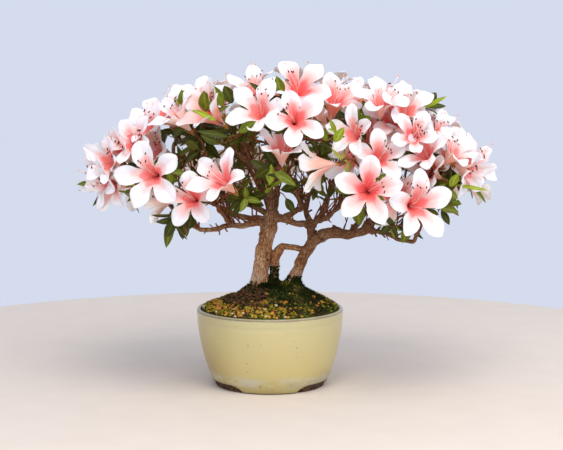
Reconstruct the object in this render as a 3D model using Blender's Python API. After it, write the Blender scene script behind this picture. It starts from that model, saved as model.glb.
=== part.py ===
"""Azalea bonsai in blossom: two trunks and a thin third stem in a round glazed pot.

Metres, +Z up. The front faces -Y and its right-hand side is +X. Everything is modelled about the
pot's axis, standing on z = 0, and is moved at the end so that the origin is the middle of the
plant's spread, on the ground.
"""

import math
import random

import bmesh
import bpy
import numpy as np
from mathutils import Vector
from mathutils.bvhtree import BVHTree

SEED = 23
GAP = 0.0003            # between two pieces that meet
CLEAR = 0.0006          # between a mass and any other limb or mass

# Pot
POT_RADIUS = 0.0625
POT_HEIGHT = 0.066
POT_WALL = 0.0036
POT_SPREAD = 0.015      # how much wider the rim is than the foot
POT_CURVE = 1.9
POT_FLOOR = 0.010
POT_SIDES = 32
WALL_STEPS = 5
FOOT_HEIGHT = 0.0036
FOOT_RADIUS = 0.0468
FOOT_WIDTH = 0.0075
FOOT_STEP = 0.0010      # the glazed body stands out this far over the foot
FOOT_GAPS = (-90, 30, 150)
FOOT_GAP_WIDTH = 0.046
CUT_BELOW = 0.002       # the gaps' cutter starts this far below the feet

# Soil: a mound with a level top that the trunks stand on
SOIL_TOP = 0.084
SOIL_EDGE = 0.0672      # its height at the rim
SOIL_SKIRT = 0.004      # and how far its side stands upright there
SOIL_FLAT = (0.022, 0.013)
SOIL_MIDDLE = 0.003     # the level top lies this far right of the pot's axis
SOIL_BEND = 0.9
SOIL_SIDES = 28
SOIL_RINGS = 4

# Eye that the places in the front view are seen by
EYE = Vector((0.0098, -1.435, 0.3173))

# Crown: half an ellipsoid
CROWN_MIDDLE = Vector((0.017, 0.0, 0.150))
CROWN_REACH = Vector((0.182, 0.118, 0.125))

# Blossom
PETALS = 5
PETAL_LENGTH = 0.0275   # from the blossom's axis to a petal's tip
PETAL_WIDTH = 0.0158
PETAL_END = 0.0080      # width near a petal's rounded tip
THROAT_HEIGHT = 0.0165  # from the calyx to the plane of the notches between petals
THROAT_RADIUS = 0.0070
PETAL_THICK = 0.0012
PETAL_CUP = 0.0025      # a petal's edge lies this far behind its rib
STALK = 0.011           # the straight last stretch of a twig
CALYX_SUNK = 0.003      # how far it runs into the blossom
CALYX_BELOW = 0.002     # the blossom's base lies this far below the calyx
FUNNEL_FLOOR = 0.006    # and the bottom of its funnel this far above
OPEN_RISE = 20          # degrees that the petals of an open blossom rise
SHUT_RISE = 52          # and how many more when it is shut
SHUT_WIDTH = 0.75       # share of a petal's width that is left then
WIDE_AT = 0.50          # a petal is widest this share of the way out
NARROW_AT = 0.95

# Leaf and twig
LEAF_LENGTH = 0.023
LEAF_WIDTH = 0.0088
LEAF_THICK = 0.0011
LEAF_RIB = 1.6          # how much thicker its middle is
LEAF_SUNK = 0.0012      # its root goes this far into the twig
STEM_RADII = (0.0021, 0.0013)
TWIG_RADII = (0.0011, 0.0009)
STEM_STRAIGHT = 0.007   # a mass's stem goes on this far in its bough's direction
STEM_PAST_HUB = 0.010
TWIG_FROM, TWIG_TO = 0.25, 0.98  # shares of the stem's length between which twigs start
TWIG_BEND = 0.004
TWIG_TRIES = 6
WHORL = 3
WHORL_LEAN = 58         # degrees between a leaf and its twig
WHORL_TURN = 20         # and how much the leaves' places round it and their leans differ
WHORL_TILT = 12
WHORL_STEP = 0.0022
SPRIG_LEAVES = 4
LEAVES_BELOW = 0.004    # a blossom's leaves start this far below it
LEAF_LEAN = 0.004       # a leaf may reach this far over the wall of its mass's space


def material(name, colour, roughness, metallic=0.0):
    made = bpy.data.materials.new(name)
    made.use_nodes = True
    shader = made.node_tree.nodes["Principled BSDF"]
    shader.inputs["Base Color"].default_value = (*colour, 1.0)
    shader.inputs["Roughness"].default_value = roughness
    shader.inputs["Metallic"].default_value = metallic
    return made


def add_object(name, points, faces, finish):
    mesh = bpy.data.meshes.new(name)
    mesh.from_pydata([tuple(p) for p in points], [], [tuple(f) for f in faces])
    mesh.materials.append(finish)
    made = bpy.data.objects.new(name, mesh)
    bpy.context.scene.collection.objects.link(made)
    return made


def shade(obj, sharp_from=40):
    obj.data.shade_smooth()
    obj.data.set_sharp_from_angle(angle=math.radians(sharp_from))


# Solids of revolution

def turned(profile, sides):
    """A closed solid turned from (radius, height) pairs that start and end on the axis."""
    points = [(0, 0, profile[0][1])]
    for radius, height in profile[1:-1]:
        for k in range(sides):
            turn = math.tau * k / sides
            points.append((radius * math.cos(turn), radius * math.sin(turn), height))
    points.append((0, 0, profile[-1][1]))
    faces = []
    rings = len(profile) - 2
    for k in range(sides):
        after = (k + 1) % sides
        faces.append((0, 1 + after, 1 + k))
        for ring in range(rings - 1):
            low = 1 + ring * sides
            high = low + sides
            faces.append((low + k, low + after, high + after, high + k))
        top = 1 + (rings - 1) * sides
        faces.append((len(points) - 1, top + k, top + after))
    return points, faces


def wall_radius(height):
    return POT_RADIUS - POT_SPREAD * (1 - height / POT_HEIGHT) ** POT_CURVE


def pot_profile():
    foot_inner = FOOT_RADIUS - FOOT_WIDTH
    lip = POT_WALL / 2
    outer = [(wall_radius(z), z) for z in np.linspace(FOOT_HEIGHT, POT_HEIGHT - lip / 2, WALL_STEPS)]
    inner_heights = np.linspace(POT_HEIGHT - lip / 2, POT_FLOOR + POT_WALL, WALL_STEPS - 1)
    inner = [(wall_radius(z) - POT_WALL, z) for z in inner_heights]
    return (
        [(0, FOOT_HEIGHT), (foot_inner, FOOT_HEIGHT), (foot_inner, 0), (FOOT_RADIUS, 0)]
        + [(FOOT_RADIUS, FOOT_HEIGHT - FOOT_STEP)]
        + outer
        + [(POT_RADIUS - lip, POT_HEIGHT)]
        + inner
        + [(inner[-1][0] - POT_WALL, POT_FLOOR), (0, POT_FLOOR)]
    )


def foot_cutter():
    """Three blocks that part the foot ring into three feet."""
    mesh = bmesh.new()
    for turn in FOOT_GAPS:
        made = bmesh.ops.create_cube(mesh, size=1.0)["verts"]
        size = (FOOT_WIDTH * 3, FOOT_GAP_WIDTH, FOOT_HEIGHT - FOOT_STEP + CUT_BELOW)
        bmesh.ops.scale(mesh, verts=made, vec=size)
        out = (FOOT_RADIUS - FOOT_WIDTH, 0, size[2] / 2 - CUT_BELOW)
        bmesh.ops.translate(mesh, verts=made, vec=out)
        around = math.radians(turn)
        for vert in made:
            x, y = vert.co.x, vert.co.y
            vert.co.x = x * math.cos(around) - y * math.sin(around)
            vert.co.y = x * math.sin(around) + y * math.cos(around)
    data = bpy.data.meshes.new("foot_cutter")
    mesh.to_mesh(data)
    mesh.free()
    cutter = bpy.data.objects.new("foot_cutter", data)
    bpy.context.scene.collection.objects.link(cutter)
    cutter.hide_render = True
    cutter.display_type = "WIRE"
    return cutter


def build_pot(glaze):
    pot = add_object("pot", *turned(pot_profile(), POT_SIDES), glaze)
    cut = pot.modifiers.new("feet", "BOOLEAN")
    cut.operation = "DIFFERENCE"
    cut.solver = "EXACT"
    cut.object = foot_cutter()
    shade(pot)
    return pot


def soil_height(share):
    """Height of the mound, from its level top at 0 to the pot's wall at 1."""
    return SOIL_TOP - (SOIL_TOP - SOIL_EDGE) * share**SOIL_BEND


def build_soil(earth):
    top = SOIL_EDGE - SOIL_SKIRT
    reach = wall_radius(top) - POT_WALL - GAP * 2
    low_reach = wall_radius(POT_FLOOR + POT_WALL) - POT_WALL * 2 - GAP * 2
    floor = POT_FLOOR + GAP
    points = [(SOIL_MIDDLE, 0, SOIL_TOP - GAP)]
    rings = []
    for step in range(SOIL_RINGS):
        share = step / (SOIL_RINGS - 1)
        ring = []
        for k in range(SOIL_SIDES):
            turn = math.tau * k / SOIL_SIDES
            flat_x = SOIL_MIDDLE + SOIL_FLAT[0] * math.cos(turn)
            flat_y = SOIL_FLAT[1] * math.sin(turn)
            x = flat_x + (reach * math.cos(turn) - flat_x) * share
            y = flat_y + (reach * math.sin(turn) - flat_y) * share
            ring.append((x, y, soil_height(share) - GAP))
        rings.append(ring)
    for radius, height in ((reach, top), (low_reach, floor)):
        turns = [math.tau * k / SOIL_SIDES for k in range(SOIL_SIDES)]
        rings.append([(radius * math.cos(t), radius * math.sin(t), height) for t in turns])
    faces = []
    for ring in rings:
        points.extend(ring)
    points.append((0, 0, floor))
    for k in range(SOIL_SIDES):
        after = (k + 1) % SOIL_SIDES
        faces.append((0, 1 + k, 1 + after))
        for ring in range(len(rings) - 1):
            high = 1 + ring * SOIL_SIDES
            low = high + SOIL_SIDES
            faces.append((high + k, low + k, low + after, high + after))
        last = 1 + (len(rings) - 1) * SOIL_SIDES
        faces.append((len(points) - 1, last + after, last + k))
    soil = add_object("soil", points, faces, earth)
    shade(soil)
    return soil


# Limbs: each is a few (x, y, z, radius) places, read as one smooth curve

LIMBS = {
    "trunk_left": {
        "path": [(-0.008, 0, 0.084, 0.0084), (-0.008, 0, 0.09, 0.0075),
                 (-0.0066, 0, 0.105, 0.0069), (-0.0036, 0, 0.124, 0.0068),
                 (-0.0005, 0, 0.137, 0.0068), (0.0026, 0.0005, 0.15, 0.005)],
        "sides": 10, "roots": 0.16, "meets": (),
    },
    "trunk_right": {
        "path": [(0.019, 0, 0.084, 0.0066), (0.0208, 0, 0.091, 0.0054),
                 (0.0257, 0, 0.1033, 0.0049), (0.0317, 0, 0.1153, 0.0048),
                 (0.0372, -0.0005, 0.1235, 0.0049), (0.042, -0.001, 0.1268, 0.005)],
        "sides": 10, "roots": 0.22, "meets": (),
    },
    "stem_middle": {
        "path": [(0.0038, -0.0015, 0.084, 0.0034), (0.0036, -0.0015, 0.097, 0.0032),
                 (0.005, -0.0015, 0.1085, 0.0040), (0.0082, -0.0015, 0.1162, 0.0038),
                 (0.0106, -0.0015, 0.1191, 0.0032), (0.0145, -0.0012, 0.1183, 0.0026),
                 (0.0205, -0.001, 0.1174, 0.0025), (0.03, 0, 0.1155, 0.0027)],
        "sides": 7, "roots": 0.1, "meets": ("trunk_left", "trunk_right"),
    },
    "bough_front_left": {
        "path": [(-0.001, -0.001, 0.1375, 0.0033), (-0.0128, -0.008, 0.1393, 0.0027),
                 (-0.0257, -0.016, 0.1376, 0.0024), (-0.034, -0.023, 0.1393, 0.0022),
                 (-0.0522, -0.038, 0.137, 0.0019), (-0.066, -0.049, 0.1435, 0.0016)],
        "sides": 7, "meets": ("trunk_left",),
    },
    "bough_front_mid_left": {
        "path": [(-0.03, -0.02, 0.1386, 0.002), (-0.035, -0.031, 0.144, 0.0018),
                 (-0.04, -0.043, 0.153, 0.0015)],
        "sides": 6, "meets": ("bough_front_left",),
    },
    "bough_left": {
        "path": [(-0.001, 0.001, 0.1415, 0.003), (-0.0193, 0.003, 0.1427, 0.0025),
                 (-0.0342, 0.005, 0.1475, 0.0022), (-0.06, 0.004, 0.16, 0.0019),
                 (-0.088, -0.001, 0.171, 0.0016)],
        "sides": 7, "meets": ("trunk_left",),
    },
    "bough_back_left": {
        "path": [(0, 0.002, 0.144, 0.0028), (-0.012, 0.013, 0.1505, 0.0024),
                 (-0.0342, 0.029, 0.1555, 0.002), (-0.064, 0.045, 0.169, 0.0016)],
        "sides": 7, "meets": ("trunk_left", "bough_left"),
    },
    "bough_upright_left": {
        "path": [(0.002, -0.001, 0.146, 0.0034), (-0.0008, -0.002, 0.166, 0.003),
                 (-0.01, -0.002, 0.183, 0.0025), (-0.025, -0.003, 0.196, 0.002),
                 (-0.035, -0.0035, 0.203, 0.0017)],
        "sides": 7, "meets": ("trunk_left",),
    },
    "bough_top": {
        "path": [(0.003, 0.001, 0.145, 0.003), (0.0058, 0.009, 0.162, 0.0026),
                 (0.006, 0.01, 0.182, 0.0022), (0.01, 0.004, 0.205, 0.0017)],
        "sides": 7, "meets": ("trunk_left", "bough_upright_left"),
    },
    "bough_back_mid_left": {
        "path": [(0.001, 0.001, 0.145, 0.0026), (-0.004, 0.018, 0.158, 0.0022),
                 (-0.013, 0.034, 0.172, 0.0018), (-0.021, 0.048, 0.184, 0.0015)],
        "sides": 7, "meets": ("trunk_left", "bough_back_left", "bough_top"),
    },
    "bough_mid_right": {
        "path": [(0.003, -0.001, 0.143, 0.004), (0.012, -0.004, 0.1425, 0.0034),
                 (0.023, -0.009, 0.1392, 0.0028), (0.035, -0.018, 0.1414, 0.0024),
                 (0.046, -0.032, 0.146, 0.002), (0.058, -0.048, 0.158, 0.0016)],
        "sides": 7, "meets": ("trunk_left", "bough_front_left", "bough_upright_left"),
    },
    "bough_front_middle": {
        "path": [(0.011, -0.004, 0.143, 0.003), (0.02, -0.01, 0.149, 0.0026),
                 (0.027, -0.018, 0.155, 0.0024), (0.023, -0.031, 0.165, 0.002),
                 (0.018, -0.043, 0.179, 0.0016)],
        "sides": 7, "meets": ("trunk_left", "bough_mid_right"),
    },
    "bough_right": {
        "path": [(0.0425, -0.001, 0.1271, 0.005), (0.054, -0.004, 0.1308, 0.0048),
                 (0.0702, -0.008, 0.13, 0.0038), (0.0813, -0.01, 0.1342, 0.0041),
                 (0.088, -0.009, 0.143, 0.0034), (0.099, -0.008, 0.155, 0.0026),
                 (0.118, -0.007, 0.168, 0.0018)],
        "sides": 9, "meets": ("trunk_right",),
    },
    "bough_front_right": {
        "path": [(0.082, -0.01, 0.1335, 0.0024), (0.095, -0.02, 0.133, 0.002),
                 (0.1075, -0.033, 0.129, 0.0018), (0.118, -0.045, 0.129, 0.0017),
                 (0.121, -0.052, 0.138, 0.0015)],
        "sides": 6, "meets": ("bough_right",),
    },
    "bough_fork": {
        "path": [(0.035, 0.001, 0.122, 0.0036), (0.0352, 0.002, 0.134, 0.003),
                 (0.043, 0.006, 0.144, 0.0026), (0.05, 0.01, 0.16, 0.0023),
                 (0.058, 0.011, 0.178, 0.002), (0.068, 0.006, 0.198, 0.0016)],
        "sides": 7, "meets": ("trunk_right", "bough_right"),
    },
    "bough_back_mid_right": {
        "path": [(0.036, 0.0028, 0.137, 0.0026), (0.031, 0.012, 0.148, 0.0022),
                 (0.035, 0.03, 0.165, 0.0019), (0.044, 0.05, 0.182, 0.0015)],
        "sides": 7, "meets": ("bough_fork",),
    },
    "bough_back_right": {
        "path": [(0.068, -0.0075, 0.1305, 0.0028), (0.075, 0.007, 0.137, 0.0024),
                 (0.086, 0.024, 0.15, 0.002), (0.098, 0.04, 0.164, 0.0016)],
        "sides": 7, "meets": ("bough_right",),
    },
}
CURVE_STEP = 0.0105     # between two rings of a limb
ROOT_RIDGES = 5
ROOT_FADE = 2.2         # how fast the ridges fade from ring to ring


def curve_through(places):
    """Points along one smooth curve through the places, with the same number of values each."""
    places = np.array(places, float)
    padded = np.vstack([2 * places[0] - places[1], places, 2 * places[-1] - places[-2]])
    out = []
    for i in range(1, len(padded) - 2):
        before, start, end, after = padded[i - 1 : i + 3]
        steps = max(1, round(np.linalg.norm(end[:3] - start[:3]) / CURVE_STEP))
        for t in np.arange(steps) / steps:
            out.append(0.5 * (
                2 * start + (end - before) * t
                + (2 * before - 5 * start + 4 * end - after) * t**2
                + (3 * start - before - 3 * end + after) * t**3
            ))
    out.append(padded[-2])
    return np.array(out)


def tube(places, sides, roots=0.0, swell=0.0, level_start=False):
    """A closed tapering tube. roots gives its foot low ridges; swell adds to its radius and its ends."""
    line = curve_through(places)
    centres, radii = line[:, :3], line[:, 3] + swell
    tangents = np.gradient(centres, axis=0)
    tangents /= np.linalg.norm(tangents, axis=1, keepdims=True)
    if level_start:
        tangents[0] = (0, 0, 1)
    centres[0] -= tangents[0] * swell
    centres[-1] += tangents[-1] * swell
    side = np.cross(tangents[0], (0.0, 1.0, 0.13))
    points, faces = [], []
    for i, (centre, radius, along) in enumerate(zip(centres, radii, tangents)):
        side = side - along * side.dot(along)
        side /= np.linalg.norm(side)
        other = np.cross(along, side)
        foot = roots * math.exp(-ROOT_FADE * i)
        for k in range(sides):
            turn = math.tau * k / sides
            reach = radius * (1 + foot * math.cos(ROOT_RIDGES * turn))
            points.append(centre + reach * (math.cos(turn) * side + math.sin(turn) * other))
    for ring in range(len(centres) - 1):
        low, high = ring * sides, (ring + 1) * sides
        for k in range(sides):
            after = (k + 1) % sides
            faces.append((low + k, low + after, high + after, high + k))
    faces.append(tuple(range(sides - 1, -1, -1)))
    last = (len(centres) - 1) * sides
    faces.append(tuple(last + k for k in range(sides)))
    return points, faces


def apply_boolean(obj, operation, other, solver="EXACT"):
    """Applies one Boolean; other is an object or a collection of them, and is then removed."""
    modifier = obj.modifiers.new("cut", "BOOLEAN")
    modifier.operation = operation
    modifier.solver = solver
    if isinstance(other, bpy.types.Collection):
        modifier.operand_type = "COLLECTION"
        modifier.collection = other
        helpers = list(other.objects)
    else:
        modifier.object = other
        helpers = [other]
    bpy.context.view_layer.objects.active = obj
    bpy.ops.object.modifier_apply(modifier=modifier.name)
    for helper in helpers:
        bpy.data.objects.remove(helper)
    if isinstance(other, bpy.types.Collection):
        bpy.data.collections.remove(other)


def bodies_of(mesh):
    """Sets of faces that hang together, each with the volume that it encloses."""
    left = set(mesh.faces)
    while left:
        first = left.pop()
        body, edge = [first], [first]
        while edge:
            for line in edge.pop().edges:
                for face in line.link_faces:
                    if face in left:
                        left.discard(face)
                        body.append(face)
                        edge.append(face)
        volume = sum(f.verts[0].co.dot(f.verts[1].co.cross(f.verts[2].co)) for f in body) / 6
        yield volume, body


def keep_largest_body(obj):
    """Drops loose scraps and fills sealed hollows."""
    mesh = bmesh.new()
    mesh.from_mesh(obj.data)
    bmesh.ops.triangulate(mesh, faces=mesh.faces)
    bodies = sorted(bodies_of(mesh), key=lambda body: body[0])
    for volume, body in bodies[:-1]:
        bmesh.ops.delete(mesh, geom=body, context="FACES")
    mesh.to_mesh(obj.data)
    mesh.free()


def build_limb(name, bark):
    plan = LIMBS[name]
    standing = name.startswith(("trunk", "stem"))
    roots = plan.get("roots", 0.0)
    limb = add_object(name, *tube(plan["path"], plan["sides"], roots, 0.0, standing), bark)
    for other in plan["meets"]:
        near = LIMBS[other]
        shape = tube(near["path"], near["sides"], near.get("roots", 0.0), GAP, other.startswith("trunk"))
        apply_boolean(limb, "DIFFERENCE", add_object("cutter", *shape, bark))
    keep_largest_body(limb)
    shade(limb)
    return limb


# Masses of blossom and leaves. Each takes the name of its bough, and its space is what lies nearer to
# its hub than to any other.

HUBS = {
    "front_left": (-0.088, -0.058, 0.168),
    "front_mid_left": (-0.043, -0.062, 0.170),
    "left": (-0.112, -0.005, 0.180),
    "back_left": (-0.085, 0.058, 0.180),
    "upright_left": (-0.052, -0.005, 0.212),
    "top": (0.014, -0.002, 0.228),
    "back_mid_left": (-0.028, 0.066, 0.198),
    "mid_right": (0.072, -0.062, 0.176),
    "front_middle": (0.014, -0.058, 0.196),
    "right": (0.145, -0.006, 0.182),
    "front_right": (0.118, -0.062, 0.160),
    "fork": (0.078, -0.003, 0.216),
    "back_mid_right": (0.050, 0.066, 0.198),
    "back_right": (0.112, 0.056, 0.180),
}

# Blossoms of the front, as seen from the eye: across and up in the plane of the pot's axis, how far
# behind the crown's front, heading (0 to the front, 90 to the right), rise and roll in degrees, the
# blossom's size and how far it is open.
FRONT_BLOSSOMS = [
    (-0.140, 0.177, 0.000, -52, -10, 36, 0.95, 0.75),
    (-0.131, 0.194, 0.002, -60, 10, -4, 1.00, 0.60),
    (-0.134, 0.171, 0.006, -30, -15, -14, 0.85, 0.55),
    (-0.114, 0.206, 0.004, -35, 30, -40, 0.98, 0.75),
    (-0.100, 0.179, -0.006, -15, 5, -15, 1.10, 0.95),
    (-0.094, 0.200, 0.012, -55, 20, 20, 1.00, 0.60),
    (-0.088, 0.231, 0.012, -40, 50, 0, 0.98, 0.80),
    (-0.077, 0.228, 0.002, -60, 45, -4, 1.00, 0.45),
    (-0.056, 0.242, 0.034, 0, 50, 0, 0.92, 0.75),
    (-0.050, 0.231, 0.000, -50, 35, 0, 1.12, 0.45),
    (-0.009, 0.233, 0.000, -20, 35, 20, 1.08, 0.90),
    (-0.014, 0.249, 0.026, 10, 55, 0, 0.95, 0.65),
    (0.025, 0.252, 0.000, 15, 42, 44, 1.06, 0.72),
    (0.022, 0.226, -0.006, 5, 15, -20, 1.00, 0.90),
    (0.010, 0.200, 0.008, 0, 60, 0, 1.00, 0.40),
    (-0.040, 0.174, 0.000, -40, 35, 10, 1.08, 0.60),
    (-0.066, 0.159, -0.004, -15, 5, 0, 1.00, 1.00),
    (-0.092, 0.156, 0.012, -105, -15, 0, 0.80, 0.50),
    (0.054, 0.240, 0.006, 20, 62, 0, 1.10, 0.50),
    (0.094, 0.240, 0.014, 5, 58, -8, 1.04, 0.80),
    (0.104, 0.226, 0.000, 5, 35, 0, 1.05, 0.90),
    (0.132, 0.223, 0.006, 35, 40, 0, 1.00, 0.75),
    (0.121, 0.212, 0.006, 0, 20, 30, 0.85, 0.40),
    (0.071, 0.214, 0.006, -30, 20, 0, 0.90, 0.55),
    (0.086, 0.212, 0.020, 20, 35, 10, 0.95, 0.80),
    (0.092, 0.193, 0.006, 5, 22, 0, 0.92, 0.75),
    (0.068, 0.192, 0.022, -40, 0, 20, 0.90, 0.70),
    (0.083, 0.166, -0.014, -5, 8, 5, 1.08, 0.95),
    (0.107, 0.161, 0.000, -10, 12, -15, 1.02, 0.85),
    (0.124, 0.153, -0.010, 22, 5, 0, 1.12, 0.80),
    (0.136, 0.182, 0.007, -46, 25, 0, 0.93, 0.55),
    (0.131, 0.198, 0.000, -30, 35, 0, 1.00, 0.60),
    (0.155, 0.197, 0.006, 45, 45, 0, 0.95, 0.60),
    (0.170, 0.188, -0.006, 50, 15, 24, 0.96, 0.75),
    (0.167, 0.182, 0.006, 50, -25, -12, 0.92, 0.60),
    (0.043, 0.187, 0.014, -110, -10, 0, 0.95, 0.60),
    (0.152, 0.195, 0.014, 10, 30, 10, 0.92, 0.60),
    (-0.068, 0.240, 0.026, -30, 55, 15, 0.92, 0.60),
    (0.066, 0.243, 0.026, 0, 60, 34, 0.92, 0.65),
    (0.142, 0.212, 0.016, 20, 35, 20, 0.92, 0.70),
    (-0.136, 0.190, -0.004, -35, 10, 15, 0.92, 0.50),
    (-0.124, 0.198, 0.010, -55, 5, 0, 0.92, 0.50),
    (0.115, 0.234, 0.008, 15, 45, 0, 1.00, 0.65),
    (0.134, 0.219, 0.008, 30, 48, 20, 0.92, 0.60),
    (-0.104, 0.218, 0.016, -35, 45, 20, 0.92, 0.60),
]

# Leafy twig ends of the front, in the same terms: across, up, behind, heading, rise, leaves
FRONT_SPRIGS = [
    (-0.082, 0.139, 0.010, -40, -50, 4),
    (-0.073, 0.238, 0.004, -30, 60, 4),
    (-0.046, 0.240, 0.004, 20, 60, 4),
    (-0.001, 0.248, 0.004, 10, 60, 3),
    (-0.022, 0.215, 0.012, -10, 20, 4),
    (0.056, 0.216, 0.006, 0, 30, 4),
    (0.134, 0.240, 0.010, 60, 40, 3),
    (0.174, 0.170, 0.012, 70, 5, 4),
    (-0.148, 0.172, 0.012, -80, 0, 3),
    (0.103, 0.136, 0.020, -20, -30, 3),
    (0.000, 0.170, 0.040, 20, 30, 5),
    (-0.022, 0.160, 0.050, -20, 10, 5),
    (0.040, 0.200, 0.030, 0, 20, 5),
    (0.150, 0.158, 0.012, 40, -20, 4),
]
NEARLY_UPRIGHT = 0.97
SPREAD_COUNT = 700      # places over the whole crown that the rest of the blossoms are dealt to
SPREAD_APART = 0.0345    # no nearer to another blossom than this
SPREAD_LOW = 0.10       # share of the crown's height below which it carries none
SPREAD_FRONT = -0.052   # the front's own blossoms cover what lies before this depth
SPREAD_SINKS = (0.011, 0.026)
SPREAD_JITTER = 0.3
SPREAD_SIZES = (0.92, 1.06)
SPREAD_OPENED = (0.65, 1.0)
SPREAD_FROM = 0.163     # none of them hangs lower than this
OUTLINE_SHARE = 1.03    # of the crown's reach, that a petal's tip may come to in the front view
SPRIG_APART = 0.031
SPRIG_SINKS = (0.018, 0.026)
# Slides along the line of sight, and sizes with moves inwards, that are tried until a blossom fits
SETTLE = (0, 0.004, -0.004, 0.008, 0.012, -0.008, 0.016, 0.022, 0.030)
FITS = (
    (1.0, 0), (1.0, 0.006), (1.0, -0.005), (0.9, 0), (0.9, 0.008),
    (0.82, 0), (0.82, 0.012), (0.82, -0.006),
)


def seen_at(across, up, depth):
    """The place at this depth that the eye sees where (across, 0, up) lies."""
    along = Vector((across, 0, up)) - EYE
    return EYE + along * ((depth - EYE.y) / -EYE.y)


def crown_front(across, up):
    """Depth of the crown's front surface."""
    x = (across - CROWN_MIDDLE.x) / CROWN_REACH.x
    z = (up - CROWN_MIDDLE.z) / CROWN_REACH.z
    left = 1 - x * x - max(0.0, z) ** 2
    return CROWN_MIDDLE.y - CROWN_REACH.y * math.sqrt(max(0.0, left))


def keeps_to_outline(points):
    """True when no point passes the crown's outline, as the eye sees it."""
    for point in points:
        place = EYE + (point - EYE) * (EYE.y / (EYE.y - point.y))
        across = (place.x - CROWN_MIDDLE.x) / CROWN_REACH.x
        up = max(0.0, place.z - CROWN_MIDDLE.z) / CROWN_REACH.z
        if across**2 + up**2 > OUTLINE_SHARE**2:
            return False
    return True


def facing(heading, rise):
    heading, rise = math.radians(heading), math.radians(rise)
    level = math.cos(rise)
    return Vector((math.sin(heading) * level, -math.cos(heading) * level, math.sin(rise)))


def crown_places(taken, apart, sinks, draw):
    """Places a little inside the crown's surface, this far from all others, and the way out there."""
    turn_step = math.pi * (3 - math.sqrt(5))
    for i in range(SPREAD_COUNT):
        z = 1 - (1 - SPREAD_LOW) * (i + 0.5) / SPREAD_COUNT
        ring, turn = math.sqrt(1 - z * z), i * turn_step
        unit = Vector((ring * math.cos(turn), ring * math.sin(turn), z))
        out = Vector([unit[k] / CROWN_REACH[k] for k in range(3)]).normalized()
        place = CROWN_MIDDLE + unit * CROWN_REACH - out * draw.uniform(*sinks)
        if place.y > SPREAD_FRONT and all((place - other).length > apart for other in taken):
            taken.append(place)
            jitter = Vector([draw.uniform(-1, 1) for _ in range(3)])
            yield place, (out + SPREAD_JITTER * jitter).normalized()


def basis(out):
    """Upward and rightward directions in the plane that faces out, for a viewer who looks at it."""
    up = Vector((0, 0, 1)) if abs(out.z) < NEARLY_UPRIGHT else Vector((0, 1, 0))
    up = (up - out * up.dot(out)).normalized()
    return up, up.cross(out)


def blossom_solid(calyx, out, roll, size, opened):
    """A thick star-shaped funnel: an inner and an outer sheet that meet at the petals' edge."""
    up, right = basis(out)
    flare = math.radians(OPEN_RISE + (1 - opened) * SHUT_RISE)
    reach = PETAL_LENGTH - THROAT_RADIUS

    def place(turn, radius, height, aside=0.0):
        turn = math.radians(turn)
        ray = up * math.cos(turn) + right * math.sin(turn)
        across = right * math.cos(turn) - up * math.sin(turn)
        return calyx + size * (ray * radius + across * aside + out * height)

    def along_petal(share):
        run = reach * share
        return THROAT_RADIUS + run * math.cos(flare), THROAT_HEIGHT + run * math.sin(flare)

    points = [calyx - out * CALYX_BELOW, calyx + out * FUNNEL_FLOOR]
    faces = []
    wide, near_tip = along_petal(WIDE_AT), along_petal(NARROW_AT)
    half = PETAL_WIDTH / 2 * (SHUT_WIDTH + (1 - SHUT_WIDTH) * opened)
    end = PETAL_END / 2
    for petal in range(PETALS):
        turn = roll + 360 / PETALS * petal
        points += [
            place(turn - 180 / PETALS, THROAT_RADIUS, THROAT_HEIGHT),
            place(turn, wide[0], wide[1] - PETAL_CUP, -half),
            place(turn, near_tip[0], near_tip[1] - PETAL_CUP, -end),
            place(turn, near_tip[0], near_tip[1] - PETAL_CUP, end),
            place(turn, wide[0], wide[1] - PETAL_CUP, half),
            place(turn, wide[0], wide[1] + PETAL_THICK / 2),
            place(turn, wide[0], wide[1] - PETAL_THICK / 2 - PETAL_CUP / 2),
        ]
    for petal in range(PETALS):
        first = 2 + 7 * petal
        inner, outer = first + 5, first + 6
        after = 2 + 7 * ((petal + 1) % PETALS)
        edge = [*range(first, first + 5), after]
        for a, b in zip(edge, edge[1:]):
            faces.append((inner, b, a))
            faces.append((outer, a, b))
        faces.append((inner, first, 1))
        faces.append((inner, 1, after))
        faces.append((outer, 0, first))
        faces.append((outer, after, 0))
    return points, faces


def leaf_solid(root, along, face_up, length, width):
    side = along.cross(face_up).normalized()
    lift = side.cross(along).normalized()
    middle = root + along * length * 0.5
    half = LEAF_THICK / 2
    points = [
        root - along * LEAF_SUNK,
        middle - side * width / 2 + lift * half,
        root + along * length,
        middle + side * width / 2 + lift * half,
        middle + lift * half * LEAF_RIB,
        middle - lift * half * LEAF_RIB,
    ]
    faces = [(4, 1, 0), (4, 2, 1), (4, 3, 2), (4, 0, 3), (5, 0, 1), (5, 1, 2), (5, 2, 3), (5, 3, 0)]
    return points, faces


def twig_solid(path, start_radius, end_radius):
    """A three-sided tapering twig along a few places."""
    points, faces = [], []
    count = len(path)
    side = None
    for i, place in enumerate(path):
        along = (path[min(i + 1, count - 1)] - path[max(i - 1, 0)]).normalized()
        if side is None:
            side = along.cross(Vector((0.31, 0.87, 0.38)))
        side = (side - along * side.dot(along)).normalized()
        other = along.cross(side)
        radius = start_radius + (end_radius - start_radius) * i / (count - 1)
        for k in range(3):
            turn = math.tau * k / 3
            points.append(place + (side * math.cos(turn) + other * math.sin(turn)) * radius)
    for i in range(count - 1):
        for k in range(3):
            after = (k + 1) % 3
            faces.append((3 * i + k, 3 * i + after, 3 * i + 3 + after, 3 * i + 3 + k))
    faces.append((2, 1, 0))
    faces.append((3 * count - 3, 3 * count - 2, 3 * count - 1))
    return points, faces


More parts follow.
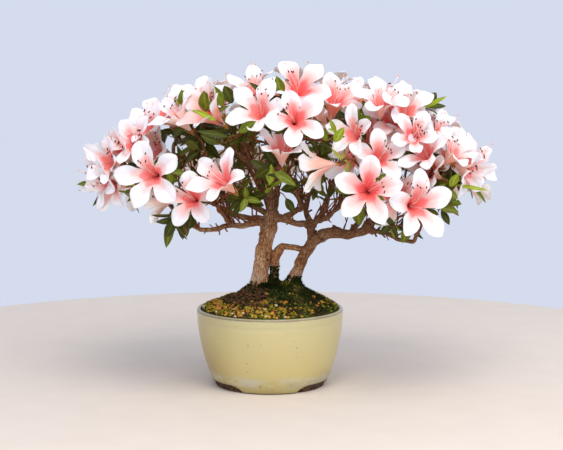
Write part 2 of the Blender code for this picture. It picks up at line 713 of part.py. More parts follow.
class Room:
    """Remembers every solid that is placed, and tells whether a new one keeps clear of them."""

    def __init__(self):
        self.owners, self.kinds, self.lows, self.highs, self.trees = [], [], [], [], []

    def add(self, owner, kind, solid):
        points = [tuple(p) for p in solid[0]]
        self.owners.append(owner)
        self.kinds.append(kind)
        self.lows.append(np.min(points, axis=0))
        self.highs.append(np.max(points, axis=0))
        self.trees.append(BVHTree.FromPolygons(points, solid[1]))

    def is_free(self, owner, solid, own_kinds=()):
        """True when the solid is clear of what others own, and of the owner's own pieces of these kinds."""
        points = [tuple(p) for p in swollen(*solid, CLEAR)]
        low, high = np.min(points, axis=0), np.max(points, axis=0)
        near = (np.array(self.lows) < high).all(axis=1) & (np.array(self.highs) > low).all(axis=1)
        tree = BVHTree.FromPolygons(points, solid[1])
        for index in np.flatnonzero(near):
            if self.owners[index] == owner and self.kinds[index] not in own_kinds:
                continue
            if tree.overlap(self.trees[index]):
                return False
        return True


def swollen(points, faces, by):
    """The same shape with each corner moved out along its normal."""
    normals = [Vector() for _ in points]
    for face in faces:
        a, b, c = (Vector(points[i]) for i in face[:3])
        normal = (b - a).cross(c - a)
        for i in face:
            normals[i] += normal
    return [Vector(p) + n.normalized() * by for p, n in zip(points, normals)]


def owner_of(place):
    return min(HUBS, key=lambda name: (Vector(HUBS[name]) - place).length)


def keeps_to_space(owner, points, allowance=0.0):
    """True when every corner lies nearer to the owner's hub than to any other, but for the allowance."""
    hub = Vector(HUBS[owner])
    for name, other in HUBS.items():
        if name == owner:
            continue
        other = Vector(other)
        wall = (other - hub).normalized()
        limit = (other - hub).length / 2 - CLEAR + allowance
        if any((Vector(p) - hub).dot(wall) > limit for p in points):
            return False
    return True


def stem_path(name):
    """From 0.3 mm beyond the bough's tip, through the hub and a little past it."""
    line = curve_through(LIMBS["bough_" + name]["path"])[:, :3]
    tip, along = Vector(line[-1]), Vector(line[-1] - line[-2]).normalized()
    hub = Vector(HUBS[name])
    start = tip + along * GAP
    return [start, start + along * STEM_STRAIGHT, hub, hub + (hub - start).normalized() * STEM_PAST_HUB]


def place_along(path, share):
    """The place this share of the way along a path."""
    lengths = [(b - a).length for a, b in zip(path, path[1:])]
    left = share * sum(lengths)
    for a, b, length in zip(path, path[1:], lengths):
        if left <= length:
            return a.lerp(b, left / length)
        left -= length
    return path[-1]


def front_blossoms(room):
    """The front's blossoms, each slid along the line of sight to where it clears the ones before it."""
    for across, up, behind, heading, rise, roll, size, opened in FRONT_BLOSSOMS:
        out = facing(heading, rise)
        choices = []
        for slide in SETTLE:
            throat = seen_at(across, up, crown_front(across, up) + behind + slide)
            calyx = throat - out * THROAT_HEIGHT * size
            choices.append((owner_of(calyx), calyx, out, blossom_solid(calyx, out, roll, size, opened)))
        clear = [c for c in choices if room.is_free(c[0], c[3], ("blossom", "twig"))]
        clear = clear or [c for c in choices if room.is_free(c[0], c[3])]
        if clear:
            yield clear[0], throat


def spread_blossoms(room, taken):
    """Blossoms by rule over the rest of the crown, smaller where there is less room."""
    draw = random.Random(SEED)
    for throat, out in crown_places(taken, SPREAD_APART, SPREAD_SINKS, draw):
        if throat.z < SPREAD_FROM:
            continue
        size, opened = draw.uniform(*SPREAD_SIZES), draw.uniform(*SPREAD_OPENED)
        roll = draw.uniform(0, 360 / PETALS)
        for smaller, inwards in FITS:
            calyx = throat - out * (THROAT_HEIGHT * size * smaller + inwards)
            solid = blossom_solid(calyx, out, roll, size * smaller, opened)
            if keeps_to_outline(solid[0]) and room.is_free(owner_of(calyx), solid, ("blossom", "twig")):
                yield owner_of(calyx), calyx, out, solid
                break


def flowering_end(calyx, out, solid):
    return {"place": calyx, "out": out, "sunk": CALYX_SUNK, "blossom": solid}


def leafy_ends(taken):
    """Twig ends that carry only leaves: those of the front, then by rule over the rest of the crown."""
    for across, up, behind, heading, rise, count in FRONT_SPRIGS:
        end = seen_at(across, up, crown_front(across, up) + behind)
        yield end, facing(heading, rise), count
    draw = random.Random(SEED + 1)
    for end, out in crown_places(taken, SPRIG_APART, SPRIG_SINKS, draw):
        yield end, out, SPRIG_LEAVES


def whorl(end, along, count, draw):
    """Root, direction and length of each leaf round a twig's end, one a little below another."""
    up, right = basis(along)
    first = draw.uniform(0, 360)
    for k in range(count):
        turn = math.radians(first + 360 * k / count + draw.uniform(-WHORL_TURN, WHORL_TURN))
        lean = math.radians(WHORL_LEAN + draw.uniform(-WHORL_TILT, WHORL_TILT))
        ray = up * math.cos(turn) + right * math.sin(turn)
        direction = (along * math.cos(lean) + ray * math.sin(lean)).normalized()
        yield end - along * WHORL_STEP * (k + 0.5), direction, LEAF_LENGTH * draw.uniform(0.85, 1.15)


def add_twigs(name, ends, solids, room, draw):
    """A twig from the stem to each end; gives back the ends that were reached."""
    stem = stem_path(name)
    way = (stem[-1] - stem[0]).normalized()
    ends.sort(key=lambda end: (end["place"] - stem[0]).dot(way))
    reached = []
    for rank, end in enumerate(ends):
        share = TWIG_FROM + (TWIG_TO - TWIG_FROM) * (rank + 0.5) / len(ends)
        before = end["place"] - end["out"] * STALK
        for _ in range(TWIG_TRIES):
            start = place_along(stem, share)
            bend = Vector([draw.uniform(-TWIG_BEND, TWIG_BEND) for _ in range(3)])
            twig = twig_solid([start, before + bend, end["place"] + end["out"] * end["sunk"]], *TWIG_RADII)
            if room.is_free(name, twig):
                room.add(name, "twig", twig)
                solids.append(twig)
                reached.append(end)
                break
            share = draw.uniform(TWIG_FROM, TWIG_TO)
    return reached


def plan_masses(room):
    """The stem, blossoms, twigs and leaves of each mass, as lists of solids."""
    masses, ends = {}, {}
    for name in HUBS:
        masses[name] = [twig_solid(stem_path(name), *STEM_RADII)]
        ends[name] = []
        room.add(name, "twig", masses[name][0])
    taken = []
    for blossom, throat in front_blossoms(room):
        taken.append(throat)
        room.add(blossom[0], "blossom", blossom[3])
        ends[blossom[0]].append(flowering_end(*blossom[1:]))
    throats = list(taken)
    for name, calyx, out, solid in spread_blossoms(room, throats):
        room.add(name, "blossom", solid)
        ends[name].append(flowering_end(calyx, out, solid))
    for place, out, count in leafy_ends(throats):
        ends[owner_of(place)].append({"place": place, "out": out, "sunk": 0, "leaves": count})
    draw = random.Random(SEED + 2)
    for name in HUBS:
        reached = add_twigs(name, ends[name], masses[name], room, draw)
        masses[name] += [end["blossom"] for end in reached if "blossom" in end]
        ends[name] = reached
    for name in HUBS:
        for end in ends[name]:
            tip = end["place"] - end["out"] * (LEAVES_BELOW if "blossom" in end else 0)
            for root, direction, length in whorl(tip, end["out"], end.get("leaves", WHORL), draw):
                leaf = leaf_solid(root, direction, end["out"], length, LEAF_WIDTH * length / LEAF_LENGTH)
                if keeps_to_space(name, leaf[0], LEAF_LEAN) and room.is_free(name, leaf, ("blossom",)):
                    room.add(name, "leaf", leaf)
                    masses[name].append(leaf)
    return masses


def fuse(name, solids, finish):
    """One Boolean union of all the solids of a mass."""
    others = bpy.data.collections.new("others")
    bpy.context.scene.collection.children.link(others)
    base = add_object(name, *solids[0], finish)
    for points, faces in solids[1:]:
        piece = add_object("piece", points, faces, finish)
        bpy.context.scene.collection.objects.unlink(piece)
        others.objects.link(piece)
    apply_boolean(base, "UNION", others, "MANIFOLD")
    keep_largest_body(base)
    return base


def centre_on_spread(objects):
    """Moves the whole plant so that the middle of its spread is over the origin."""
    corners = [obj.matrix_world @ Vector(corner) for obj in objects for corner in obj.bound_box]
    middle = Vector((
        (min(c.x for c in corners) + max(c.x for c in corners)) / 2,
        (min(c.y for c in corners) + max(c.y for c in corners)) / 2,
        0,
    ))
    whole = bpy.data.objects.new("azalea_bonsai", None)
    bpy.context.scene.collection.objects.link(whole)
    for obj in bpy.data.objects:
        if obj is not whole:
            obj.parent = whole
    whole.location = -middle


def main():
    for obj in list(bpy.data.objects):
        bpy.data.objects.remove(obj)
    glaze = material("celadon_glaze", (0.64, 0.58, 0.29), 0.28)
    earth = material("soil_and_moss", (0.10, 0.09, 0.03), 0.95)
    bark = material("bark", (0.30, 0.15, 0.08), 0.85)
    petal = material("petal_and_leaf", (0.95, 0.66, 0.68), 0.6)
    built = [build_pot(glaze), build_soil(earth)]
    room = Room()
    for name in LIMBS:
        limb = build_limb(name, bark)
        built.append(limb)
        faces = [tuple(p.vertices) for p in limb.data.polygons]
        room.add(name, "limb", ([v.co.copy() for v in limb.data.vertices], faces))
    for name, solids in plan_masses(room).items():
        built.append(fuse("mass_" + name, solids, petal))
    bpy.context.view_layer.update()
    centre_on_spread(built)


main()
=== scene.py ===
import math
import random

import bmesh
import bpy
import numpy as np
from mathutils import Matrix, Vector
from mathutils.bvhtree import BVHTree


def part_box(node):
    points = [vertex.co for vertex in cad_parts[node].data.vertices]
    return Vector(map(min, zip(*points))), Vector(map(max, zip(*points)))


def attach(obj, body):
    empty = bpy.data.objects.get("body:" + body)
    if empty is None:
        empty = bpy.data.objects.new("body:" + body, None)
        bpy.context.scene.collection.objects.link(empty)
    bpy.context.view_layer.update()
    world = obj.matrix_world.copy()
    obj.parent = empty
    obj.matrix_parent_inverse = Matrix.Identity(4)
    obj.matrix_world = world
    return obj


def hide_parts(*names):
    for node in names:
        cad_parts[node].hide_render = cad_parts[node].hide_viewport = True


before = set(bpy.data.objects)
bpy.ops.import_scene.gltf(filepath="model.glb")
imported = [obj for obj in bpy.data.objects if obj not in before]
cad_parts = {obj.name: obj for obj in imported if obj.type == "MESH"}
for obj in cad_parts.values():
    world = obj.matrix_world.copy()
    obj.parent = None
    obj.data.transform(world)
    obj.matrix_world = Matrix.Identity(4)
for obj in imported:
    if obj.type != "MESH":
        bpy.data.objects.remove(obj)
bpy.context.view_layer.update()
POT_LOW, POT_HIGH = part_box("pot")
# Everything below is worked out about the pot's axis, and is moved by this as its mesh is made
AXIS = Vector(((POT_LOW.x + POT_HIGH.x) / 2, (POT_LOW.y + POT_HIGH.y) / 2, 0.0))


# Meshes from arrays of triangles

class Heap:
    """Collects triangles, with up to one (across, along) pair a point, and makes one piece of them."""

    def __init__(self):
        self.points, self.faces, self.places, self.count = [], [], [], 0

    def add(self, points, faces, places=None):
        points = np.asarray(points, float).reshape(-1, 3)
        self.points.append(points)
        self.faces.append(np.asarray(faces, int).reshape(-1, 3) + self.count)
        self.places.append(np.zeros((len(points), 2)) if places is None else np.asarray(places))
        self.count += len(points)

    def make(self, name, finish, slot, smooth=True, bake=None):
        """The piece, on the root body. bake gives the map that its colours are kept by, from its places."""
        points = np.vstack(self.points) + np.array(AXIS)
        faces = np.vstack(self.faces)
        mesh = bpy.data.meshes.new(name)
        mesh.from_pydata(points.tolist(), [], faces.tolist())
        if bake is not None:
            places = np.vstack(self.places)[faces.ravel()]
            for label, values in (("place", places), ("OFBake", bake(places))):
                layer = mesh.uv_layers.new(name=label)
                layer.data.foreach_set("uv", values.astype(np.float32).ravel())
        mesh.polygons.foreach_set("use_smooth", np.full(len(faces), smooth))
        mesh.materials.append(finish)
        mesh.update()
        piece = add_object(name, mesh)
        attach(piece, "root")
        return piece


def add_object(name, data):
    """An object of this mesh, lamp or camera, in the scene."""
    made = bpy.data.objects.new(name, data)
    bpy.context.scene.collection.objects.link(made)
    return made


def unit(rows):
    """The same directions, one long."""
    return rows / np.maximum(np.linalg.norm(rows, axis=-1, keepdims=True), 1e-12)


def full_turn(count):
    """This many equal steps round a circle, in radians."""
    return np.arange(count) * math.tau / count


def scatter(draw, reach=1):
    return [draw.uniform(-reach, reach) for _ in range(3)]


def swing(up, right, turn):
    """The direction that lies this far round from up to right."""
    return up * math.cos(turn) + right * math.sin(turn)


def grid_faces(rows, columns, closed=False):
    """Triangles over a grid of points, row by row; closed joins the last column to the first."""
    low = np.arange(rows - 1)[:, None] * columns
    here = np.arange(columns if closed else columns - 1)[None, :]
    after = (here + 1) % columns
    a, b = (low + here).ravel(), (low + after).ravel()
    c, d = b + columns, a + columns
    return np.vstack([np.stack([a, b, c], 1), np.stack([a, c, d], 1)])


def capped(rings, first, last):
    """A tube through (rings, places, 3), closed by a fan to one place at each end."""
    count, sides = rings.shape[:2]
    here = np.arange(sides)
    after = (here + 1) % sides
    end = (count - 1) * sides
    foot = np.stack([after, here, np.full(sides, count * sides)], 1)
    tip = np.stack([end + here, end + after, np.full(sides, count * sides + 1)], 1)
    points = np.vstack([rings.reshape(-1, 3), first, last])
    return points, np.vstack([grid_faces(count, sides, closed=True), foot, tip])


def across_ways(along, hint):
    """Two steady directions across each way along a line."""
    side, sides = np.cross(along[0], hint), []
    for way in along:
        side = unit(side - way * side.dot(way))
        sides.append(side)
    return np.array(sides), np.cross(along, sides)


def rings_along(line, reach, ways, turns):
    """Rings round a line. reach has a row for each ring, ways two directions across for each."""
    sides, others = ways
    spokes = np.cos(turns)[None, :, None] * sides[:, None] + np.sin(turns)[None, :, None] * others[:, None]
    return line[:, None] + reach[..., None] * spokes


def pipe(line, radii, sides):
    """A closed tapering tube along a line of places."""
    line, radii = np.asarray(line, float), np.asarray(radii, float)
    ways = across_ways(unit(np.gradient(line, axis=0)), SKEW)
    return capped(rings_along(line, radii[:, None], ways, full_turn(sides)), line[:1], line[-1:])


def turned(radius, turns, height):
    """Places at these radii and heights, with a row for each turn about the axis."""
    return np.stack([radius * np.cos(turns)[:, None], radius * np.sin(turns)[:, None], height], -1)


def smooth_line(places, step):
    """A smooth line through a few places, with points about this far apart, and all their values."""
    places = np.array([tuple(p) for p in places], float)
    padded = np.vstack([2 * places[0] - places[1], places, 2 * places[-1] - places[-2]])
    out = []
    for i in range(1, len(padded) - 2):
        before, start, end, after = padded[i - 1 : i + 3]
        count = max(1, round(np.linalg.norm((end - start)[:3]) / step))
        for t in np.arange(count) / count:
            out.append(0.5 * (
                2 * start + (end - before) * t
                + (2 * before - 5 * start + 4 * end - after) * t**2
                + (3 * start - before - 3 * end + after) * t**3
            ))
    out.append(padded[-2])
    return np.array(out)


def lattice(cells, seed):
    """A steady random number from 0 to 1 for each whole-numbered (x, y, z)."""
    mixed = cells[..., 0] * 374761393 + cells[..., 1] * 668265263 + cells[..., 2] * 2147483647 + seed * 974711
    mixed = (mixed ^ (mixed >> 13)) * 1274126177 & 0x7FFFFFFF
    return ((mixed ^ (mixed >> 16)) & 0xFFFF) / 0xFFFF


def rough(points, seed=0, octaves=1):
    """Smooth noise from about -1 to 1 at each point, one unit wide, with finer layers added."""
    total, size = np.zeros(len(points)), 1.0
    for octave in range(octaves):
        at = points * 2.0**octave
        low = np.floor(at).astype(np.int64)
        t = at - low
        t = t * t * (3 - 2 * t)
        value = np.zeros(len(points))
        for corner in range(8):
            step = np.array([corner & 1, corner >> 1 & 1, corner >> 2])
            weight = np.prod(np.where(step, t, 1 - t), axis=1)
            value += weight * lattice(low + step, seed + octave)
        total += size * (2 * value - 1)
        size /= 2
    return total


def smooth_step(low, high, value):
    """0 where the value is low or less, 1 where it is high or more, smooth between."""
    t = np.clip((value - low) / (high - low), 0, 1)
    return t * t * (3 - 2 * t)


# Materials

class Value:
    """What a node gives. Sums, differences and products of it add nodes to its material."""

    def __init__(self, finish, socket):
        self.finish, self.socket = finish, socket

    def __add__(self, other):
        return self.finish.math("ADD", self, other)

    def __sub__(self, other):
        return self.finish.math("SUBTRACT", self, other)

    def __mul__(self, other):
        return self.finish.math("MULTIPLY", self, other)

    def __abs__(self):
        return self.finish.math("ABSOLUTE", self)


class Finish:
    """A material, with its nodes added one call at a time."""

    def __init__(self, name, **values):
        self.material = bpy.data.materials.new(name)
        self.material.use_nodes = True
        self.tree = self.material.node_tree
        self.shader = self.tree.nodes["Principled BSDF"]
        for label, value in values.items():
            self.set(label.replace("_", " "), value)

    def feed(self, socket, value):
        if isinstance(value, Value):
            self.tree.links.new(value.socket, socket)
        elif hasattr(value, "__len__") and len(value) == 3 and len(socket.default_value) == 4:
            socket.default_value = (*value, 1.0)
        else:
            socket.default_value = value

    def set(self, label, value):
        self.feed(self.shader.inputs[label], value)

    def node(self, kind, inputs, output=0, **settings):
        node = self.tree.nodes.new("ShaderNode" + kind)
        for label, value in settings.items():
            setattr(node, label, value)
        for label, value in inputs.items():
            self.feed(node.inputs[label], value)
        return Value(self, node.outputs[output])

    def math(self, operation, a, b=0.0):
        return self.node("Math", {0: a, 1: b}, operation=operation)

    def vector(self, operation, a, b):
        return self.node("VectorMath", {0: a, 1: b}, operation=operation)

    def stretched(self, place, scale):
        return self.vector("MULTIPLY", place, scale)

    def part(self, place, number):
        """The x, y or z of a place."""
        return self.node("SeparateXYZ", {0: place}, number)

    def mix(self, share, a, b):
        return self.node("Mix", {0: share, 6: a, 7: b}, 2, data_type="RGBA")

    def layered(self, colour, layers):
        """The colour with others laid over it, by (share, colour) pairs."""
        for share, over in layers:
            colour = self.mix(share, colour, over)
        return colour

    def span(self, value, low, high, start, end):
        """start where the value is low or less, end where it is high or more, smooth between."""
        inputs = {"Value": value, "From Min": low, "From Max": high, "To Min": start, "To Max": end}
        return self.node("MapRange", inputs, interpolation_type="SMOOTHSTEP")

    def rise(self, value, low, high, end=1.0):
        return self.span(value, low, high, 0.0, end)

    def fall(self, value, low, high, start=1.0):
        return self.span(value, low, high, start, 0.0)

    def ramp(self, share, stops):
        """Colours by (position, colour) pairs."""
        made = self.tree.nodes.new("ShaderNodeValToRGB")
        entries = made.color_ramp.elements
        entries.remove(entries[1])
        entries[0].position, entries[0].color = stops[0][0], (*stops[0][1], 1.0)
        for position, colour in stops[1:]:
            entries.new(position).color = (*colour, 1.0)
        self.feed(made.inputs[0], share)
        return Value(self, made.outputs[0])

    def at(self):
        """The point on the part, in metres."""
        return self.node("TexCoord", {}, 3)

    def off_axis(self):
        """The same point, from the pot's axis."""
        return self.vector("SUBTRACT", self.at(), tuple(AXIS))

    def noise(self, place, scale, detail=3.0, roughness=0.5):
        inputs = {"Vector": place, "Scale": scale, "Detail": detail, "Roughness": roughness}
        return self.node("TexNoise", inputs)

    def cells(self, place, scale, feature="F1"):
        return self.node("TexVoronoi", {"Vector": place, "Scale": scale}, feature=feature)

    def bump(self, height, strength, distance):
        inputs = {"Strength": strength, "Distance": distance, "Height": height}
        self.set("Normal", self.node("Bump", inputs))


def split_place(finish):
    """(across, along, side, kind) from the map called place; side and kind are 0 or 1."""
    place = finish.node("UVMap", {}, uv_map="place")
    across, along = finish.part(place, 0), finish.part(place, 1)
    side, kind = finish.math("GREATER_THAN", across, 1.0), finish.math("GREATER_THAN", along, 1.0)
    return across - side, along - kind, side, kind


def quarter(places):
    """Packs places from 0 to 2 both ways into one square."""
    return places * 0.5


def blend(a, b, share):
    """The colour this share of the way from one to another."""
    return tuple(x + (y - x) * share for x, y in zip(a, b))


# Petal colours, face then back
WHITE = (0.875, 0.820, 0.835)
BLUSH = (0.92, 0.60, 0.585)
ROSE = (0.99, 0.285, 0.265)
DEEP = (0.93, 0.14, 0.14)
CREAM = (0.90, 0.80, 0.66)
PEACH = (0.90, 0.62, 0.53)
SALMON = (0.96, 0.28, 0.20)
PALE_BACK = (0.92, 0.76, 0.71)
WHITE_BACK = (0.93, 0.88, 0.85)
LOBE_START = 0.50           # the throat's colour reaches this far along a petal


def petal_finish(name, spread, depth):
    """A petal's two sides. spread is how far out the pink runs, depth from pale at 0 to deep at 1."""
    finish = Finish(name, Roughness=0.5, Specular_IOR_Level=0.3, Subsurface_Weight=0.5,
                    Subsurface_Scale=0.002, Subsurface_Radius=(1.0, 0.55, 0.45))
    across, along, back, upper = split_place(finish)
    off_rib = abs(across - 0.5) * 2.0
    both = finish.node("CombineXYZ", {0: across, 1: along, 2: back * 3.0})
    veins = finish.noise(finish.stretched(both, (16.0, 1.6, 5.0)), 1.0, 4.0, 0.6)
    cloud = finish.noise(both, 3.0, 2.0)
    run = finish.math("POWER", off_rib, 2.0) * 0.15 + along + (veins - 0.5) * 0.16 + (cloud - 0.5) * 0.10
    throat, middle = blend(ROSE, DEEP, depth), blend(BLUSH, ROSE, depth * 0.55)
    face = finish.ramp(run, [
        (0.0, DEEP), (0.30, throat), (LOBE_START, throat), (LOBE_START + spread * 0.35, middle),
        (LOBE_START + spread * 0.85, BLUSH), (LOBE_START + spread * 1.35, WHITE),
    ])
    flush = finish.math("MAXIMUM", finish.rise(veins, 0.50, 0.72, 0.22), finish.rise(cloud, 0.42, 0.66, 0.20))
    speck = finish.fall(finish.cells(finish.stretched(both, (9.0, 26.0, 1.0)), 1.0), 0.20, 0.32)
    zone = finish.rise(run, 0.46, 0.54) * finish.fall(run, 0.60, 0.74) * finish.fall(off_rib, 0.45, 0.8)
    face = finish.layered(face, (
        (finish.fall(off_rib, 0.0, 0.07, 0.22 + 0.2 * depth), middle),
        (flush, BLUSH),
        (speck * zone * upper * 0.7, DEEP),
        (zone * upper * (0.35 + 0.3 * depth), throat),
    ))
    salmon = blend(PEACH, SALMON, depth)
    rear = finish.ramp(run, [
        (0.0, CREAM), (0.10, PEACH), (0.26, salmon), (0.36 + spread * 0.5, salmon),
        (0.50 + spread * 0.6, PEACH), (0.62 + spread * 0.5, PALE_BACK), (0.90, WHITE_BACK),
    ])
    rear = finish.mix(finish.fall(off_rib, 0.0, 0.10, 0.35), rear, PEACH)
    finish.set("Base Color", finish.mix(back, face, rear))
    finish.bump(veins, 0.35, 0.0004)
    return finish.material


def leaf_finish(name, upper, lower, rib):
    """A leaf's two sides, darker in clouds, with a paler rib and side veins."""
    finish = Finish(name, Specular_IOR_Level=0.15)
    across, along, back, _ = split_place(finish)
    off_rib = abs(across - 0.5) * 2.0
    veins = finish.rise(finish.math("SINE", (along - off_rib * 0.22) * 44.0), 0.75, 1.0)
    both = finish.node("CombineXYZ", {0: across, 1: along, 2: back})
    cloud = finish.noise(finish.stretched(both, (2.0, 3.0, 7.0)), 1.6, 4.0, 0.6)
    face = finish.mix(finish.rise(cloud, 0.3, 0.7), blend((0, 0, 0), upper, 0.55), upper)
    face = finish.layered(face, ((veins * 0.16, rib), (finish.fall(off_rib, 0.03, 0.12, 0.6), rib)))
    under = finish.layered(lower, ((veins * 0.2, rib), (finish.fall(off_rib, 0.05, 0.14, 0.7), rib)))
    finish.set("Base Color", finish.mix(back, face, under))
    finish.set("Roughness", back * 0.3 + 0.40)
    finish.bump(cloud - veins * 0.25, 0.4, 0.0004)
    return finish.material


def plain_finish(name, dark, light, scale, roughness, bump=0.0):
    """Two shades of one colour, mottled."""
    finish = Finish(name, Roughness=roughness, Specular_IOR_Level=0.5 if roughness < 0.6 else 0.08)
    mottle = finish.noise(finish.at(), scale, 4.0, 0.65)
    finish.set("Base Color", finish.mix(finish.rise(mottle, 0.35, 0.65), dark, light))
    if bump:
        finish.bump(mottle, 0.6, bump)
    return finish.material


def bark_finish():
    """Grain by the attribute of that name: two ways across the wood and one along, in centimetres."""
    finish = Finish("bark", Roughness=0.85, Specular_IOR_Level=0.10)
    grain = finish.node("Attribute", {}, 1, attribute_name="grain")
    at = finish.at()
    height, across = finish.part(at, 2), finish.part(finish.off_axis(), 0)
    fibre = finish.noise(finish.stretched(grain, (11.0, 11.0, 3.2)), 1.0, 6.0, 0.72)
    flake = finish.cells(finish.stretched(grain, (6.0, 6.0, 2.2)), 1.0, "DISTANCE_TO_EDGE")
    patch = finish.noise(at, 90.0, 4.0, 0.6)
    colour = finish.ramp((patch - 0.5) * 0.5 + fibre, [
        (0.27, (0.11, 0.032, 0.012)), (0.39, (0.35, 0.128, 0.046)), (0.49, (0.61, 0.280, 0.120)),
        (0.57, (0.74, 0.42, 0.225)), (0.68, (0.86, 0.63, 0.43)),
    ])
    finish.set("Base Color", finish.layered(colour, (
        (finish.fall(height, 0.086, 0.106, 0.65) * finish.rise(patch, 0.35, 0.6), (0.78, 0.60, 0.44)),
        (finish.rise(height, 0.112, 0.165, 0.68), (0.080, 0.032, 0.018)),
        # painted shade: the bark is darker on the limbs right of the pot's axis
        (finish.rise(across, 0.018, 0.030, 0.50), (0.120, 0.055, 0.030)),
        (finish.fall(flake, 0.0, 0.10, 0.62), (0.05, 0.025, 0.016)),
    )))
    finish.bump(finish.rise(flake, 0.0, 0.22) * 0.6 + fibre, 1.0, 0.0011)
    return finish.material


BARE_HEIGHT = 0.0064        # the clay shows up to here above the three feet
DENT = Vector((-0.0080, -0.0490, 0.0078))      # a fault in the glaze, low on the front
RIM_BAND = 0.0577           # height of the faint groove under the rim
GLAZE_BAND = 0.0575         # and of its colour
LIP_EDGE = 0.0647           # where the glaze has run thin over the lip


def bare_share(finish, off_axis, height, fine):
    """Where the glaze stops short of the feet, which stand behind and at both sides of the front."""
    turn = finish.math("ARCTAN2", finish.part(off_axis, 1), finish.part(off_axis, 0))
    near = finish.math("SINE", turn * 3.0) * -1.0
    top = finish.rise(near, -0.05, 0.55) * BARE_HEIGHT
    return finish.rise(fine * -0.0010 + top - height, -0.0006, -0.0002)


def glaze_finish():
    """Celadon, greyer at the rim and yellower low down, with pits, a faint band and mineral bloom; painted
    shade on its left and right sides and low down, and a painted shadow along its lowest edge.
    """
    finish = Finish("celadon", Coat_Weight=0.15, Coat_Roughness=0.12)
    at, off_axis = finish.at(), finish.off_axis()
    across, height = finish.part(off_axis, 0), finish.part(at, 2)
    cloud = finish.noise(at, 26.0, 4.0, 0.6)
    fine = finish.noise(at, 420.0, 3.0, 0.6)
    level = (cloud - 0.5) * 0.014 + height
    colour = finish.ramp(level * (1 / 0.070), [
        (0.0, (0.37, 0.296, 0.112)), (0.10, (0.475, 0.402, 0.160)), (0.24, (0.558, 0.475, 0.196)),
        (0.40, (0.567, 0.485, 0.214)), (0.72, (0.556, 0.487, 0.236)), (0.91, (0.512, 0.468, 0.250)),
        (0.95, (0.415, 0.372, 0.222)),
    ])
    # painted shade: the glaze is darker on the left side, most of all low down, and low on the right side
    left = finish.fall(across, -0.056, -0.022, 0.85) * finish.span(height, 0.006, 0.056, 1.0, 0.3)
    right = finish.rise(across, 0.024, 0.050, 0.62) * finish.fall(height, 0.006, 0.026)
    bloom = finish.noise(finish.stretched(at, (1.0, 1.0, 2.2)), 48.0, 5.0, 0.7)
    low = finish.rise(height, 0.004, 0.009) * finish.fall(height, 0.011, 0.017)
    dent = finish.stretched(finish.vector("SUBTRACT", off_axis, tuple(DENT)), (1.8, 1.0, 0.50))
    dent = finish.node("VectorMath", {0: dent}, 1, operation="LENGTH")
    # painted shade: a darker band over the lowest few millimetres of the glaze
    shade = finish.rise(height, 0.002, 0.006) * finish.fall(height, 0.008, 0.013)
    pitted = finish.rise(finish.noise(at, 75.0, 1.0), 0.60, 0.64)
    pit = finish.fall(finish.cells(at, 230.0), 0.10, 0.17) * pitted
    ragged = (fine - 0.5) * 0.0008 + height
    rim = finish.fall(abs(ragged - LIP_EDGE), 0.0003, 0.0010, 0.88)
    bare = bare_share(finish, off_axis, height, fine)
    finish.set("Base Color", finish.layered(colour, (
        (finish.rise(fine, 0.45, 0.7) * 0.22, (0.50, 0.42, 0.20)),
        (finish.fall(abs(level - GLAZE_BAND), 0.0, 0.0026, 0.14), (0.44, 0.39, 0.19)),
        (finish.math("MAXIMUM", left, right), (0.33, 0.225, 0.070)),
        (finish.rise(bloom, 0.40, 0.62, 0.8) * low, (0.54, 0.51, 0.40)),
        (finish.fall(dent, 0.0007, 0.0013, 0.92), (0.12, 0.060, 0.028)),
        (shade * finish.rise(cloud, 0.4, 0.65, 0.5), (0.33, 0.30, 0.19)),
        (pit * 0.75, (0.18, 0.12, 0.06)),
        (rim * finish.span(cloud, 0.25, 0.5, 0.55, 1.0), (0.205, 0.160, 0.105)),
        # painted shadow: the glaze's lowest edge, between the feet, turns dark brown
        (finish.fall(ragged, 0.0003, 0.0012, 0.85), (0.12, 0.07, 0.035)),
        (bare, (0.078, 0.042, 0.024)),
    )))
    finish.set("Roughness", finish.math("MAXIMUM", cloud * 0.2 + 0.22, bare))
    finish.bump(fine * 0.12 + (cloud * 0.5 - pit * 0.7), 0.5, 0.0006)
    return finish.material


def earth_finish():
    """Dark soil with green patches."""
    finish = Finish("earth", Roughness=0.95, Specular_IOR_Level=0.08)
    at = finish.at()
    clump = finish.noise(at, 150.0, 5.0, 0.7)
    grit = finish.noise(at, 700.0, 3.0, 0.6)
    green = finish.noise(at, 60.0, 3.0, 0.6)
    soil = finish.ramp((grit - 0.5) * 0.5 + clump, [
        (0.30, (0.012, 0.010, 0.006)), (0.50, (0.045, 0.030, 0.015)), (0.68, (0.120, 0.075, 0.032)),
    ])
    moss = finish.mix(clump, (0.016, 0.028, 0.006), (0.070, 0.100, 0.018))
    finish.set("Base Color", finish.mix(finish.rise(green, 0.42, 0.58), soil, moss))
    finish.bump(grit * 0.5 + clump, 0.9, 0.0012)
    return finish.material


# The eye and the crown, as the solids have them

EYE = Vector((0.0098, -1.435, 0.3173))
EYE_DOWN = 7.17             # degrees that it looks down
FOCAL = 1700 / 563 * 36     # millimetres, on a sensor 36 wide

CROWN_MIDDLE = Vector((0.017, 0.0, 0.150))
CROWN_REACH = Vector((0.182, 0.118, 0.125))

SEED = 23
GAP = 0.0003            # between two pieces that meet
CLEAR = 0.0006          # between a mass and any other limb or mass
SKEW = (0.31, 0.87, 0.38)       # no twig runs along this, so it can turn a tube's first ring
LIMB_SKEW = (0.0, 1.0, 0.13)    # nor any limb along this
GOLDEN_TURN = math.pi * (3 - math.sqrt(5))

# Pot
POT_RADIUS = 0.0625
POT_HEIGHT = 0.066
POT_WALL = 0.0036
POT_SPREAD = 0.015      # how much wider the rim is than the foot
POT_CURVE = 1.9
POT_FLOOR = 0.010
FOOT_HEIGHT = 0.0036
FOOT_RADIUS = 0.0468
FOOT_WIDTH = 0.0075

